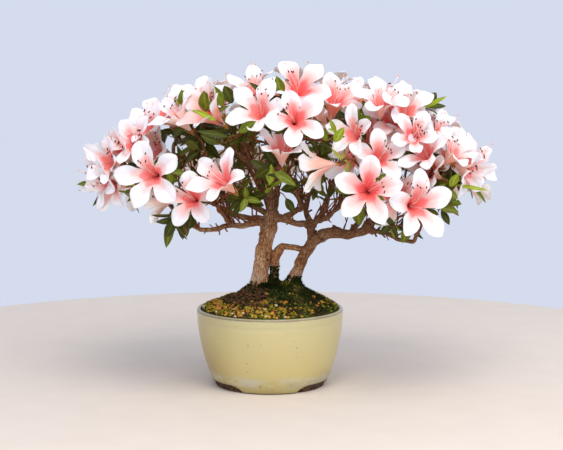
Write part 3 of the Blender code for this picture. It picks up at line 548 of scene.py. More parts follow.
# Soil: a mound with a level top that the trunks stand on
SOIL_TOP = 0.084
SOIL_EDGE = 0.0672      # its height at the rim
SOIL_FLAT = (0.022, 0.013)
SOIL_MIDDLE = 0.003     # the level top lies this far right of the pot's axis
SOIL_BEND = 0.9

# Blossom
PETALS = 5
PETAL_LENGTH = 0.0275   # from the blossom's axis to a petal's tip
PETAL_WIDTH = 0.0158
PETAL_END = 0.0080      # width near a petal's rounded tip
THROAT_HEIGHT = 0.0165  # from the calyx to the plane of the notches between petals
THROAT_RADIUS = 0.0070
PETAL_THICK = 0.0012
PETAL_CUP = 0.0025      # a petal's edge lies this far behind its rib
STALK = 0.011           # the straight last stretch of a twig
CALYX_SUNK = 0.003      # how far it runs into the blossom
CALYX_BELOW = 0.002     # the blossom's base lies this far below the calyx
FUNNEL_FLOOR = 0.006    # and the bottom of its funnel this far above
OPEN_RISE = 20          # degrees that the petals of an open blossom rise
SHUT_RISE = 52          # and how many more when it is shut
SHUT_WIDTH = 0.75       # share of a petal's width that is left then
WIDE_AT = 0.50          # a petal is widest this share of the way out
NARROW_AT = 0.95

# Leaf and twig
LEAF_LENGTH = 0.023
LEAF_WIDTH = 0.0088
LEAF_THICK = 0.0011
LEAF_RIB = 1.6          # how much thicker its middle is
LEAF_SUNK = 0.0012      # its root goes this far into the twig
STEM_RADII = (0.0021, 0.0013)
TWIG_RADII = (0.0011, 0.0009)
STEM_STRAIGHT = 0.007   # a mass's stem goes on this far in its bough's direction
STEM_PAST_HUB = 0.010
TWIG_FROM, TWIG_TO = 0.25, 0.98  # shares of the stem's length between which twigs start
TWIG_BEND = 0.004
TWIG_TRIES = 6
WHORL_LEAN = 58         # degrees between a leaf and its twig
WHORL_TURN = 20         # and how much the leaves' places round it and their leans differ
WHORL_TILT = 12
WHORL_STEP = 0.0022
SPRIG_LEAVES = 4
LEAVES_BELOW = 0.004    # a blossom's leaves start this far below it
LEAF_LEAN = 0.012       # a leaf may reach this far over the wall of its mass's space


def wall_radius(height):
    return POT_RADIUS - POT_SPREAD * (1 - height / POT_HEIGHT) ** POT_CURVE


def soil_height(share):
    """Height of the mound, from its level top at 0 to the pot's wall at 1."""
    return SOIL_TOP - (SOIL_TOP - SOIL_EDGE) * share**SOIL_BEND


# Limbs. Each has the sides of its solid, the ridges at its foot, and a few places with a radius that are
# read as one smooth curve: x, y, z and radius in millimetres
LIMBS = {
    "trunk_left": (10, 0.16, ((-8, 0, 84, 8.4), (-8, 0, 90, 7.5), (-6.6, 0, 105, 6.9),
        (-3.6, 0, 124, 6.8), (-0.5, 0, 137, 6.8), (2.6, 0.5, 150, 5))),
    "trunk_right": (10, 0.22, ((19, 0, 84, 6.6), (20.8, 0, 91, 5.4), (25.7, 0, 103.3, 4.9),
        (31.7, 0, 115.3, 4.8), (37.2, -0.5, 123.5, 4.9), (42, -1, 126.8, 5))),
    "stem_middle": (7, 0.1, ((3.8, -1.5, 84, 3.4), (3.6, -1.5, 97, 3.2), (5, -1.5, 108.5, 4),
        (8.2, -1.5, 116.2, 3.8), (10.6, -1.5, 119.1, 3.2), (14.5, -1.2, 118.3, 2.6),
        (20.5, -1, 117.4, 2.5), (30, 0, 115.5, 2.7))),
    "bough_front_left": (7, 0, ((-1, -1, 137.5, 3.3), (-12.8, -8, 139.3, 2.7), (-25.7, -16, 137.6, 2.4),
        (-34, -23, 139.3, 2.2), (-52.2, -38, 137, 1.9), (-66, -49, 143.5, 1.6))),
    "bough_front_mid_left": (6, 0, ((-30, -20, 138.6, 2), (-35, -31, 144, 1.8), (-40, -43, 153, 1.5))),
    "bough_left": (7, 0, ((-1, 1, 141.5, 3), (-19.3, 3, 142.7, 2.5), (-34.2, 5, 147.5, 2.2),
        (-60, 4, 160, 1.9), (-88, -1, 171, 1.6))),
    "bough_back_left": (7, 0, ((0, 2, 144, 2.8), (-12, 13, 150.5, 2.4), (-34.2, 29, 155.5, 2),
        (-64, 45, 169, 1.6))),
    "bough_upright_left": (7, 0, ((2, -1, 146, 3.4), (-0.8, -2, 166, 3), (-10, -2, 183, 2.5),
        (-25, -3, 196, 2), (-35, -3.5, 203, 1.7))),
    "bough_top": (7, 0, ((3, 1, 145, 3), (5.8, 9, 162, 2.6), (6, 10, 182, 2.2), (10, 4, 205, 1.7))),
    "bough_back_mid_left": (7, 0, ((1, 1, 145, 2.6), (-4, 18, 158, 2.2), (-13, 34, 172, 1.8),
        (-21, 48, 184, 1.5))),
    "bough_mid_right": (7, 0, ((3, -1, 143, 4), (12, -4, 142.5, 3.4), (23, -9, 139.2, 2.8),
        (35, -18, 141.4, 2.4), (46, -32, 146, 2), (58, -48, 158, 1.6))),
    "bough_front_middle": (7, 0, ((11, -4, 143, 3), (20, -10, 149, 2.6), (27, -18, 155, 2.4),
        (23, -31, 165, 2), (18, -43, 179, 1.6))),
    "bough_right": (9, 0, ((42.5, -1, 127.1, 5), (54, -4, 130.8, 4.8), (70.2, -8, 130, 3.8),
        (81.3, -10, 134.2, 4.1), (88, -9, 143, 3.4), (99, -8, 155, 2.6), (118, -7, 168, 1.8))),
    "bough_front_right": (6, 0, ((82, -10, 133.5, 2.4), (95, -20, 133, 2), (107.5, -33, 129, 1.8),
        (118, -45, 129, 1.7), (121, -52, 138, 1.5))),
    "bough_fork": (7, 0, ((35, 1, 122, 3.6), (35.2, 2, 134, 3), (43, 6, 144, 2.6), (50, 10, 160, 2.3),
        (58, 11, 178, 2), (68, 6, 198, 1.6))),
    "bough_back_mid_right": (7, 0, ((36, 2.8, 137, 2.6), (31, 12, 148, 2.2), (35, 30, 165, 1.9),
        (44, 50, 182, 1.5))),
    "bough_back_right": (7, 0, ((68, -7.5, 130.5, 2.8), (75, 7, 137, 2.4), (86, 24, 150, 2),
        (98, 40, 164, 1.6))),
}
CURVE_STEP = 0.0105     # between two rings of a limb's solid
ROOT_RIDGES = 5
ROOT_FADE = 2.2         # how fast the ridges fade from ring to ring


def limb_curve(name, step):
    """(x, y, z, radius) along a limb, about this far apart."""
    return smooth_line(np.array(LIMBS[name][2]) / 1000, step)


def stands_in_soil(name):
    return name.startswith(("trunk", "stem"))


def limb_solid(name):
    """A closed tapering tube, with low ridges at its foot."""
    sides, roots, _ = LIMBS[name]
    line = limb_curve(name, CURVE_STEP)
    along = unit(np.gradient(line[:, :3], axis=0))
    if stands_in_soil(name):
        along[0] = (0, 0, 1)
    turns, rings = full_turn(sides), len(line)
    foot = roots * np.exp(-ROOT_FADE * np.arange(rings))
    reach = line[:, 3:] * (1 + foot[:, None] * np.cos(ROOT_RIDGES * turns))
    points = rings_along(line[:, :3], reach, across_ways(along, LIMB_SKEW), turns).reshape(-1, 3)
    faces = []
    for low in range(0, (rings - 1) * sides, sides):
        for k in range(sides):
            after = (k + 1) % sides
            faces.append((low + k, low + after, low + sides + after, low + sides + k))
    faces.append(tuple(range(sides - 1, -1, -1)))
    faces.append(tuple(range((rings - 1) * sides, rings * sides)))
    return points, faces


def metres(values):
    return Vector([value / 1000 for value in values])


# Masses of blossom and leaves. Each takes the name of its bough, and its space is what lies nearer to
# its hub, given in millimetres, than to any other.
HUBS = {name: metres(place) for name, place in {
    "front_left": (-88, -58, 168), "front_mid_left": (-43, -62, 170), "left": (-112, -5, 180),
    "back_left": (-85, 58, 180), "upright_left": (-52, -5, 212), "top": (14, -2, 228),
    "back_mid_left": (-28, 66, 198), "mid_right": (72, -62, 176), "front_middle": (14, -58, 196),
    "right": (145, -6, 182), "front_right": (118, -62, 160), "fork": (78, -3, 216),
    "back_mid_right": (50, 66, 198), "back_right": (112, 56, 180),
}.items()}

# Blossoms of the front, as seen from the eye: across and up in the plane of the pot's axis and how far
# behind the crown's front, in millimetres, then heading (0 to the front, 90 to the right), rise and roll
# in degrees, the blossom's size and how far it is open.
FRONT_BLOSSOMS = (
    (-140, 177, 0, -52, -10, 36, 0.95, 0.75), (-131, 194, 2, -60, 10, -4, 1.0, 0.6),
    (-134, 171, 6, -30, -15, -14, 0.85, 0.55), (-114, 206, 4, -35, 30, -40, 0.98, 0.75),
    (-100, 179, -6, -15, 5, -15, 1.1, 0.95), (-94, 200, 12, -55, 20, 20, 1.0, 0.6),
    (-88, 231, 12, -40, 50, 0, 0.98, 0.8), (-77, 228, 2, -60, 45, -4, 1.0, 0.45),
    (-56, 242, 34, 0, 50, 0, 0.92, 0.75), (-50, 231, 0, -50, 35, 0, 1.12, 0.45),
    (-9, 233, 0, -20, 35, 20, 1.08, 0.9), (-14, 249, 26, 10, 55, 0, 0.95, 0.65),
    (25, 252, 0, 15, 42, 44, 1.06, 0.72), (22, 226, -6, 5, 15, -20, 1.0, 0.9),
    (10, 200, 8, 0, 60, 0, 1.0, 0.4), (-40, 174, 0, -40, 35, 10, 1.08, 0.6),
    (-66, 159, -4, -15, 12, -8, 0.9, 1.0), (-92, 156, 12, -105, -15, 0, 0.8, 0.5),
    (54, 240, 6, 20, 62, 0, 1.1, 0.5), (94, 240, 14, 5, 58, -8, 1.04, 0.8),
    (104, 226, 0, 5, 35, 0, 1.05, 0.9), (132, 223, 6, 35, 40, 0, 1.0, 0.75),
    (121, 212, 6, 0, 20, 30, 0.85, 0.4), (71, 214, 6, -30, 20, 0, 0.9, 0.55),
    (86, 212, 20, 20, 35, 10, 0.95, 0.8), (92, 193, 6, 5, 22, 0, 0.92, 0.75),
    (68, 192, 22, -40, 0, 20, 0.9, 0.7), (83, 166, -14, -5, 8, 5, 1.08, 0.95),
    (107, 161, 0, -10, 12, -15, 1.02, 0.85), (124, 153, -10, 22, 5, 0, 1.12, 0.8),
    (136, 182, 7, -46, 25, 0, 0.93, 0.55), (131, 198, 0, -30, 35, 0, 1.0, 0.6),
    (155, 197, 6, 45, 45, 0, 0.95, 0.6), (170, 189, -6, 50, 20, -6, 0.96, 0.75),
    (167, 182, 6, 50, -25, -12, 0.92, 0.6), (43, 187, 14, -110, -10, 0, 0.95, 0.6),
    (152, 195, 14, 10, 30, 10, 0.92, 0.6), (-68, 240, 26, -30, 55, 15, 0.92, 0.6),
    (66, 243, 26, 0, 60, 34, 0.92, 0.65), (142, 212, 16, 20, 35, 20, 0.92, 0.7),
    (-136, 190, -4, -35, 10, 15, 0.92, 0.5), (-124, 198, 10, -55, 5, 0, 0.92, 0.5),
    (115, 234, 8, 15, 45, 0, 1.0, 0.65), (134, 219, 8, 30, 48, 20, 0.92, 0.6),
    (-104, 218, 16, -35, 45, 20, 0.92, 0.6),
)
# Leafy twig ends of the front, in the same terms: across, up, behind, heading, rise, leaves
FRONT_SPRIGS = (
    (-82, 139, 10, -40, -50, 4), (-73, 238, 4, -30, 60, 4), (-46, 240, 4, 20, 60, 4),
    (-1, 248, 4, 10, 60, 3), (-22, 215, 12, -10, 20, 4), (56, 216, 6, 0, 30, 4),
    (134, 240, 10, 60, 40, 3), (174, 170, 12, 70, 5, 4), (-148, 172, 12, -80, 0, 3),
    (103, 136, 20, -20, -30, 3), (0, 170, 40, 20, 30, 5), (-22, 160, 50, -20, 10, 5),
    (40, 200, 30, 0, 20, 5), (150, 158, 12, 40, -20, 4),
)
NEARLY_UPRIGHT = 0.97
SPREAD_COUNT = 700      # places over the whole crown that the rest of the blossoms are dealt to
SPREAD_APART = 0.0345   # no nearer to another blossom than this
SPREAD_LOW = 0.10       # share of the crown's height below which it carries none
SPREAD_FRONT = -0.052   # the front's own blossoms cover what lies before this depth
SPREAD_SINKS = (0.011, 0.026)
SPREAD_JITTER = 0.3
SPREAD_SIZES = (0.92, 1.06)
SPREAD_OPENED = (0.65, 1.0)
SPREAD_FROM = 0.163     # none of them hangs lower than this
OUTLINE_SHARE = 0.98    # of the crown's reach: these blossoms and the twiglets keep to it in the view
SPRIG_APART = 0.031
SPRIG_SINKS = (0.018, 0.026)
# Slides along the line of sight, in millimetres, that are tried until a blossom of the front fits
SETTLE = (0, 4, -4, 8, 12, -8, 16, 22, 30)
# Sizes, with moves inwards, that are tried until another blossom fits
FITS = (
    (1.0, 0), (1.0, 0.006), (1.0, -0.005), (0.9, 0), (0.9, 0.008), (0.82, 0), (0.82, 0.012), (0.82, -0.006),
)


def front_place(across, up, behind):
    """The place so many millimetres behind the crown's front that the eye sees across and up there."""
    across, up = across / 1000, up / 1000
    x = (across - CROWN_MIDDLE.x) / CROWN_REACH.x
    z = max(0.0, up - CROWN_MIDDLE.z) / CROWN_REACH.z
    front = CROWN_MIDDLE.y - CROWN_REACH.y * math.sqrt(max(0.0, 1 - x * x - z * z))
    along = Vector((across, 0, up)) - EYE
    return EYE + along * ((front + behind / 1000 - EYE.y) / -EYE.y)


def keeps_to_outline(points):
    """True when no point passes the crown's outline, as the eye sees it."""
    for point in points:
        place = EYE + (point - EYE) * (EYE.y / (EYE.y - point.y))
        across = (place.x - CROWN_MIDDLE.x) / CROWN_REACH.x
        up = max(0.0, place.z - CROWN_MIDDLE.z) / CROWN_REACH.z
        if across**2 + up**2 > OUTLINE_SHARE**2:
            return False
    return True


def facing(heading, rise):
    """The direction with this heading and rise, in degrees."""
    heading, rise = math.radians(heading), math.radians(rise)
    level = math.cos(rise)
    return Vector((math.sin(heading) * level, -math.cos(heading) * level, math.sin(rise)))


def crown_places(taken, apart, sinks, draw):
    """Places a little inside the crown's surface, this far from all others, and the way out there."""
    for i in range(SPREAD_COUNT):
        z = 1 - (1 - SPREAD_LOW) * (i + 0.5) / SPREAD_COUNT
        ring, turn = math.sqrt(1 - z * z), i * GOLDEN_TURN
        around = Vector((ring * math.cos(turn), ring * math.sin(turn), z))
        out = Vector([around[k] / CROWN_REACH[k] for k in range(3)]).normalized()
        place = CROWN_MIDDLE + around * CROWN_REACH - out * draw.uniform(*sinks)
        if place.y > SPREAD_FRONT and all((place - other).length > apart for other in taken):
            taken.append(place)
            yield place, (out + SPREAD_JITTER * Vector(scatter(draw))).normalized()


def basis(out):
    """Upward and rightward directions in the plane that faces out, for a viewer who looks at it."""
    up = Vector((0, 0, 1)) if abs(out.z) < NEARLY_UPRIGHT else Vector((0, 1, 0))
    up = (up - out * up.dot(out)).normalized()
    return up, up.cross(out)


def blossom_solid(calyx, out, roll, size, opened):
    """A thick star-shaped funnel: an inner and an outer sheet that meet at the petals' edge."""
    up, right = basis(out)
    flare = math.radians(OPEN_RISE + (1 - opened) * SHUT_RISE)
    reach = PETAL_LENGTH - THROAT_RADIUS

    def place(turn, radius, height, aside=0.0):
        turn = math.radians(turn)
        ray, across = swing(up, right, turn), swing(right, -up, turn)
        return calyx + size * (ray * radius + across * aside + out * height)

    def along_petal(share):
        run = reach * share
        return THROAT_RADIUS + run * math.cos(flare), THROAT_HEIGHT + run * math.sin(flare)

    wide, near_tip = along_petal(WIDE_AT), along_petal(NARROW_AT)
    half = PETAL_WIDTH / 2 * (SHUT_WIDTH + (1 - SHUT_WIDTH) * opened)
    edge = ((wide, -half), (near_tip, -PETAL_END / 2), (near_tip, PETAL_END / 2), (wide, half))
    points = [calyx - out * CALYX_BELOW, calyx + out * FUNNEL_FLOOR]
    faces = []
    for petal in range(PETALS):
        turn = roll + 360 / PETALS * petal
        points.append(place(turn - 180 / PETALS, THROAT_RADIUS, THROAT_HEIGHT))
        points += [place(turn, radius, height - PETAL_CUP, aside) for (radius, height), aside in edge]
        points += [place(turn, wide[0], wide[1] + PETAL_THICK / 2),
                   place(turn, wide[0], wide[1] - PETAL_THICK / 2 - PETAL_CUP / 2)]
        first = 2 + 7 * petal
        inner, outer = first + 5, first + 6
        after = 2 + 7 * ((petal + 1) % PETALS)
        border = [*range(first, first + 5), after]
        for a, b in zip(border, border[1:]):
            faces += [(inner, b, a), (outer, a, b)]
        faces += [(inner, first, 1), (inner, 1, after), (outer, 0, first), (outer, after, 0)]
    return points, faces


def leaf_solid(root, along, face_up, length, width):
    """A thin kite with a thicker middle."""
    side = along.cross(face_up).normalized()
    lift = side.cross(along).normalized()
    middle = root + along * length * 0.5
    half = LEAF_THICK / 2
    points = [
        root - along * LEAF_SUNK, middle - side * width / 2 + lift * half,
        root + along * length, middle + side * width / 2 + lift * half,
        middle + lift * half * LEAF_RIB, middle - lift * half * LEAF_RIB,
    ]
    return points, [(4, 1, 0), (4, 2, 1), (4, 3, 2), (4, 0, 3), (5, 0, 1), (5, 1, 2), (5, 2, 3), (5, 3, 0)]


def twig_solid(path, start_radius, end_radius):
    """A three-sided tapering twig along a few places."""
    points, faces = [], []
    count = len(path)
    side = None
    for i, place in enumerate(path):
        along = (path[min(i + 1, count - 1)] - path[max(i - 1, 0)]).normalized()
        side = side or along.cross(Vector(SKEW))
        side = (side - along * side.dot(along)).normalized()
        other = along.cross(side)
        radius = start_radius + (end_radius - start_radius) * i / (count - 1)
        points += [place + swing(side, other, math.tau * k / 3) * radius for k in range(3)]
    for low in range(0, 3 * count - 3, 3):
        for k in range(3):
            after = (k + 1) % 3
            faces.append((low + k, low + after, low + 3 + after, low + 3 + k))
    faces += [(2, 1, 0), (3 * count - 3, 3 * count - 2, 3 * count - 1)]
    return points, faces


class Room:
    """Remembers every solid that is placed, and tells whether a new one keeps clear of them."""

    def __init__(self):
        self.owners, self.kinds, self.lows, self.highs, self.trees = [], [], [], [], []

    def add(self, owner, kind, solid):
        points = [tuple(p) for p in solid[0]]
        self.owners.append(owner)
        self.kinds.append(kind)
        self.lows.append(np.min(points, axis=0))
        self.highs.append(np.max(points, axis=0))
        self.trees.append(BVHTree.FromPolygons(points, solid[1]))

    def touches(self, points, faces, counts):
        """True when the shape touches a solid whose owner and kind count."""
        points = [tuple(p) for p in points]
        low, high = np.min(points, axis=0), np.max(points, axis=0)
        near = (np.array(self.lows) < high).all(axis=1) & (np.array(self.highs) > low).all(axis=1)
        tree = BVHTree.FromPolygons(points, faces)
        near = [i for i in np.flatnonzero(near) if counts(self.owners[i], self.kinds[i])]
        return any(tree.overlap(self.trees[i]) for i in near)

    def is_free(self, owner, solid, own_kinds=()):
        """True when the solid is clear of what others own, and of the owner's own pieces of these kinds."""
        points, faces = swollen(*solid, CLEAR), solid[1]
        return not self.touches(points, faces, lambda other, kind: other != owner or kind in own_kinds)


def swollen(points, faces, by):
    """The same shape with each corner moved out along its normal."""
    normals = [Vector() for _ in points]
    for face in faces:
        a, b, c = (Vector(points[i]) for i in face[:3])
        normal = (b - a).cross(c - a)
        for i in face:
            normals[i] += normal
    return [Vector(p) + n.normalized() * by for p, n in zip(points, normals)]


def owner_of(place):
    return min(HUBS, key=lambda name: (HUBS[name] - place).length)


def keeps_to_space(owner, points, allowance):
    """True when every corner lies nearer to the owner's hub than to any other, but for the allowance."""
    hub = HUBS[owner]
    for name, other in HUBS.items():
        if name != owner:
            wall = (other - hub).normalized()
            limit = (other - hub).length / 2 - CLEAR + allowance
            if any((Vector(p) - hub).dot(wall) > limit for p in points):
                return False
    return True


def stem_path(name):
    """From a little beyond the bough's tip, through the hub and a little past it."""
    line = limb_curve("bough_" + name, CURVE_STEP)[:, :3]
    tip, along = Vector(line[-1]), Vector(line[-1] - line[-2]).normalized()
    hub = HUBS[name]
    start = tip + along * GAP
    return [start, start + along * STEM_STRAIGHT, hub, hub + (hub - start).normalized() * STEM_PAST_HUB]


def place_along(path, share):
    """The place this share of the way along a path."""
    lengths = [(b - a).length for a, b in zip(path, path[1:])]
    left = share * sum(lengths)
    for a, b, length in zip(path, path[1:], lengths):
        if left <= length:
            return a.lerp(b, left / length)
        left -= length
    return path[-1]


def leafy_ends(taken):
    """Twig ends that carry only leaves: those of the front, then by rule over the rest of the crown."""
    for *place, heading, rise, count in FRONT_SPRIGS:
        yield front_place(*place), facing(heading, rise), count
    draw = random.Random(SEED + 1)
    for end, out in crown_places(taken, SPRIG_APART, SPRIG_SINKS, draw):
        yield end, out, SPRIG_LEAVES


def whorl(end, along, count, draw):
    """Root, direction and length of each leaf round a twig's end, one a little below another."""
    up, right = basis(along)
    first = draw.uniform(0, 360)
    for k in range(count):
        turn = math.radians(first + 360 * k / count + draw.uniform(-WHORL_TURN, WHORL_TURN))
        lean = math.radians(WHORL_LEAN + draw.uniform(-WHORL_TILT, WHORL_TILT))
        direction = swing(along, swing(up, right, turn), lean).normalized()
        yield end - along * WHORL_STEP * (k + 0.5), direction, LEAF_LENGTH * draw.uniform(0.85, 1.15)


# From here on, the looks. Finer numbers than the solids need

PETAL_TUBE_ROWS = 4
PETAL_LOBE_ROWS = 10
PETAL_COLUMNS = 11
PETAL_SHEET = 0.00036
TUBE_START = 0.0007         # radius of the blossom's tube at the calyx
TUBE_SHARE = 0.46           # of a petal's length that is in the tube
LOBE_WAIST = 0.42           # a free petal's width at its start, as a share of its greatest
LOBE_WIDEST = 0.50          # and where along it that is
CURL = 42                   # degrees that a petal's tip bends back
THROAT_ANGLE = 66           # degrees that a petal rises where it leaves the tube
FRONT_TINTS = "pprrpprppdppdrrrrpdpdprprrpddrrppdprpppppdppp"
TINTS = {                   # name, how far out the pink runs, and how deep it is
    "p": ("pale", 0.17, 0.20), "r": ("rose", 0.24, 0.60), "d": ("deep", 0.32, 1.00),
}
TINT_ORDER = "prd"
TINT_SHARES = (0.42, 0.36, 0.22)
FILAMENTS = 5
FILAMENT_REACH = 0.0245
FILAMENT_RADIUS = 0.00024
FILAMENT_START = 0.002      # from the calyx
PISTIL_REACH = 1.32         # as a share of a filament's
PISTIL_GIRTH = 1.25
STIGMA_PLACES, STIGMA_RADII = (-0.0003, 0.0003, 0.0010), (0.0004, 0.00062, 0.0003)
ANTHER_HALF, ANTHER_RADII = 0.0011, (0.0003, 0.00055, 0.00055, 0.0003)
CALYX_PLACES, CALYX_RADII = (-0.0045, -0.0022, -0.0006, 0.0006), (0.0009, 0.0016, 0.0017, 0.0009)
SCALES = 6
SCALE_LENGTH = (0.0050, 0.0090)
SCALE_LEAN = (10, 34)
SCALE_STEP = 0.0004         # each scale sits this far over the one before
SCALE_OFF = 0.0008          # and this far from the stalk's middle


def two_sided(grid, toward, thick):
    """Front and back sheets of a grid of points (rows, columns, 3), which meet along its border."""
    rows, columns = grid.shape[:2]
    centre = rows // 2, columns // 2
    normal = unit(np.cross(np.gradient(grid, axis=1), np.gradient(grid, axis=0)))
    if (normal[centre] * toward).sum() < 0:
        normal = -normal
    inside = np.zeros((rows, columns, 1))
    inside[1:-1, 1:-1] = thick
    faces = grid_faces(rows, columns)
    a, b, c = grid.reshape(-1, 3)[faces[len(faces) // 2]]
    if np.cross(b - a, c - a).dot(normal[centre]) < 0:
        faces = faces[:, ::-1]
    points = np.vstack([grid.reshape(-1, 3), (grid - normal * inside).reshape(-1, 3)])
    return points, np.vstack([faces, faces[:, ::-1] + rows * columns])


def two_sided_places(across, along):
    """(across, along) of each point of a sheet's front, then of its back."""
    front = np.stack(np.meshgrid(across, along), -1).reshape(-1, 2)
    return np.vstack([front, front + (1, 0)])


def lobe_shares():
    """Shares along the free part of a petal, closer together towards its tip."""
    return 1 - (1 - np.arange(1, PETAL_LOBE_ROWS + 1) / PETAL_LOBE_ROWS) ** 1.35


def petal_places(upper):
    """Places on a petal, marked when it is the upper one, which has the specks."""
    tube = np.linspace(0, TUBE_SHARE, PETAL_TUBE_ROWS + 1)
    along = np.concatenate([tube, TUBE_SHARE + (1 - TUBE_SHARE) * lobe_shares()]) * 0.97 + 0.01
    across = np.clip(np.linspace(0, 1, PETAL_COLUMNS), 0.02, 0.98)
    return two_sided_places(across, along) + (0, 1 if upper else 0)


def petal_line(opened, draw):
    """A petal's rib as (from the axis, up the axis), and how far along its free part each place is."""
    share = np.linspace(0, 1, PETAL_TUBE_ROWS + 1)
    tube = np.stack([TUBE_START + (THROAT_RADIUS - TUBE_START) * share**1.5, THROAT_HEIGHT * share], 1)
    length = (PETAL_LENGTH - THROAT_RADIUS) * draw.uniform(0.98, 1.12)
    t = np.concatenate([[0.0], lobe_shares()])
    middle = (t[1:] + t[:-1]) / 2
    rise = OPEN_RISE + (1 - opened) * SHUT_RISE + draw.uniform(-14, 14)
    curl = CURL * draw.uniform(0.4, 1.3)
    angle = np.radians(rise + (THROAT_ANGLE - rise) * np.exp(-5 * middle) - curl * middle**2)
    steps = np.stack([np.cos(angle), np.sin(angle)], 1) * np.diff(t)[:, None] * length
    line = np.vstack([tube, tube[-1] + np.cumsum(steps, axis=0)])
    return line, np.concatenate([np.zeros(PETAL_TUBE_ROWS), t])


def petal_grid(opened, draw):
    """A petal as (rows, columns, 3) of (from the axis, aside, up the axis) for a blossom of size 1."""
    columns = np.linspace(-1, 1, PETAL_COLUMNS)
    line, t = petal_line(opened, draw)
    ahead = unit(np.gradient(line, axis=0))
    past = np.clip((t - LOBE_WIDEST) / (1 - LOBE_WIDEST), 0, 1)
    half = PETAL_WIDTH / 2 * (SHUT_WIDTH + (1 - SHUT_WIDTH) * opened) * draw.uniform(0.93, 1.10)
    half = half * (LOBE_WAIST + (1 - LOBE_WAIST) * smooth_step(0, LOBE_WIDEST, t))
    half = half * np.maximum(1 - past ** draw.uniform(1.8, 2.4), 0.0006) ** draw.uniform(0.6, 0.85)
    cup = 0.46 * (1 - t) - 0.22 * t + draw.uniform(-0.16, 0.24)
    wave = 0.0010 * np.sin(math.tau * (1.5 * t[:, None] + draw.random()) + columns * 1.4) * columns**2
    groove = -0.0011 * np.exp(-((columns / 0.24) ** 2)) * np.sin(math.pi * t[:, None]) ** 0.5
    twist = math.tan(math.radians(draw.uniform(-11, 11))) * t[:, None]
    off = half[:, None] * (cup[:, None] * columns**2 + twist * columns) + wave * (t > 0)[:, None] + groove
    turned_by = np.radians(180 / PETALS * 1.04) * columns
    free = smooth_step(0.0, 0.30, t)[:, None]
    from_axis = line[:, :1]
    radial = (1 - free) * from_axis * np.cos(turned_by) + free * (from_axis - ahead[:, 1:] * off)
    aside = (1 - free) * from_axis * np.sin(turned_by) + free * half[:, None] * columns
    return np.stack([radial, aside, line[:, 1:] + free * ahead[:, :1] * off], -1)


def add_blossom(heaps, tint, calyx, out, roll, size, opened, draw):
    up, right = (np.array(v) for v in basis(out))
    calyx, out = np.array(calyx), np.array(out)
    upper = 0 if roll <= 180 / PETALS else PETALS - 1
    for petal in range(PETALS):
        turn = math.radians(roll + 360 / PETALS * petal + draw.uniform(-5, 5))
        ray, across = swing(up, right, turn), swing(right, -up, turn)
        grid = petal_grid(opened, draw) * size
        sheet = calyx + grid[..., :1] * ray + grid[..., 1:2] * across + grid[..., 2:] * out
        heaps[tint].add(*two_sided(sheet, out - ray, PETAL_SHEET), petal_places(petal == upper))
    add_stamens(heaps, calyx, out, up, right, size, opened, draw)
    add_bud_scales(heaps, calyx, out, up, right, size, draw)


def add_stamens(heaps, calyx, out, up, right, size, opened, draw):
    """Five filaments and a longer pistil, which sweep to one side as they leave the throat."""
    lean = swing(up, right, math.radians(draw.uniform(-70, 70))) * (0.30 + 0.25 * opened)
    aside = unit(np.cross(out, lean))
    t = np.linspace(0, 1, 7)
    for k in range(FILAMENTS + 1):
        pistil = k == FILAMENTS
        reach = FILAMENT_REACH * size * (PISTIL_REACH if pistil else draw.uniform(0.84, 1.08))
        spread = 0 if pistil else (k - (FILAMENTS - 1) / 2) * 0.13 + draw.uniform(-0.04, 0.04)
        bend = (t**2.0)[:, None] * (lean * draw.uniform(0.8, 1.2) + aside * spread)
        sag = -(np.sin(math.pi * t) * 0.05)[:, None] * lean
        line = calyx + out * FILAMENT_START * size + reach * (t[:, None] * out + bend + sag)
        radius = FILAMENT_RADIUS * (PISTIL_GIRTH if pistil else 1.0)
        heaps["pistil" if pistil else "filament"].add(*pipe(line, np.full(7, radius), 4))
        way = unit(line[-1] - line[-2])
        if pistil:
            heaps["stigma"].add(*pipe(line[-1] + np.outer(STIGMA_PLACES, way), STIGMA_RADII, 6))
        else:
            across = unit(np.cross(way, right + up * draw.uniform(-1, 1)))
            pod = np.outer(np.linspace(-ANTHER_HALF, ANTHER_HALF, 4), unit(way * 0.6 + across))
            heaps["anther"].add(*pipe(line[-1] + pod, ANTHER_RADII, 6))


def add_bud_scales(heaps, calyx, out, up, right, size, draw):
    """The calyx, and the brown scales of the flower bud that still clasp the foot of the tube."""
    heaps["calyx"].add(*pipe(calyx + np.outer(CALYX_PLACES, out), np.array(CALYX_RADII) * size, 8))
    first = draw.uniform(0, math.tau)
    for k in range(SCALES):
        ray = swing(up, right, first + k * math.tau / SCALES + draw.uniform(-0.2, 0.2))
        root = calyx + out * (CALYX_PLACES[0] + SCALE_STEP * k) + ray * SCALE_OFF
        length = draw.uniform(*SCALE_LENGTH) * size
        along = swing(out, ray, math.radians(draw.uniform(*SCALE_LEAN)))
        add_blade(heaps["bud_scale"], root, along, -ray + out * 0.2, length, length * 0.42, 0.35, -18, draw)


BLADE_ROWS, BLADE_COLUMNS = 8, 5
BLADE_SHEET = 0.0003
BLADE_BASE, BLADE_TIP = 0.05, 0.01      # shares of a blade's width at its two ends


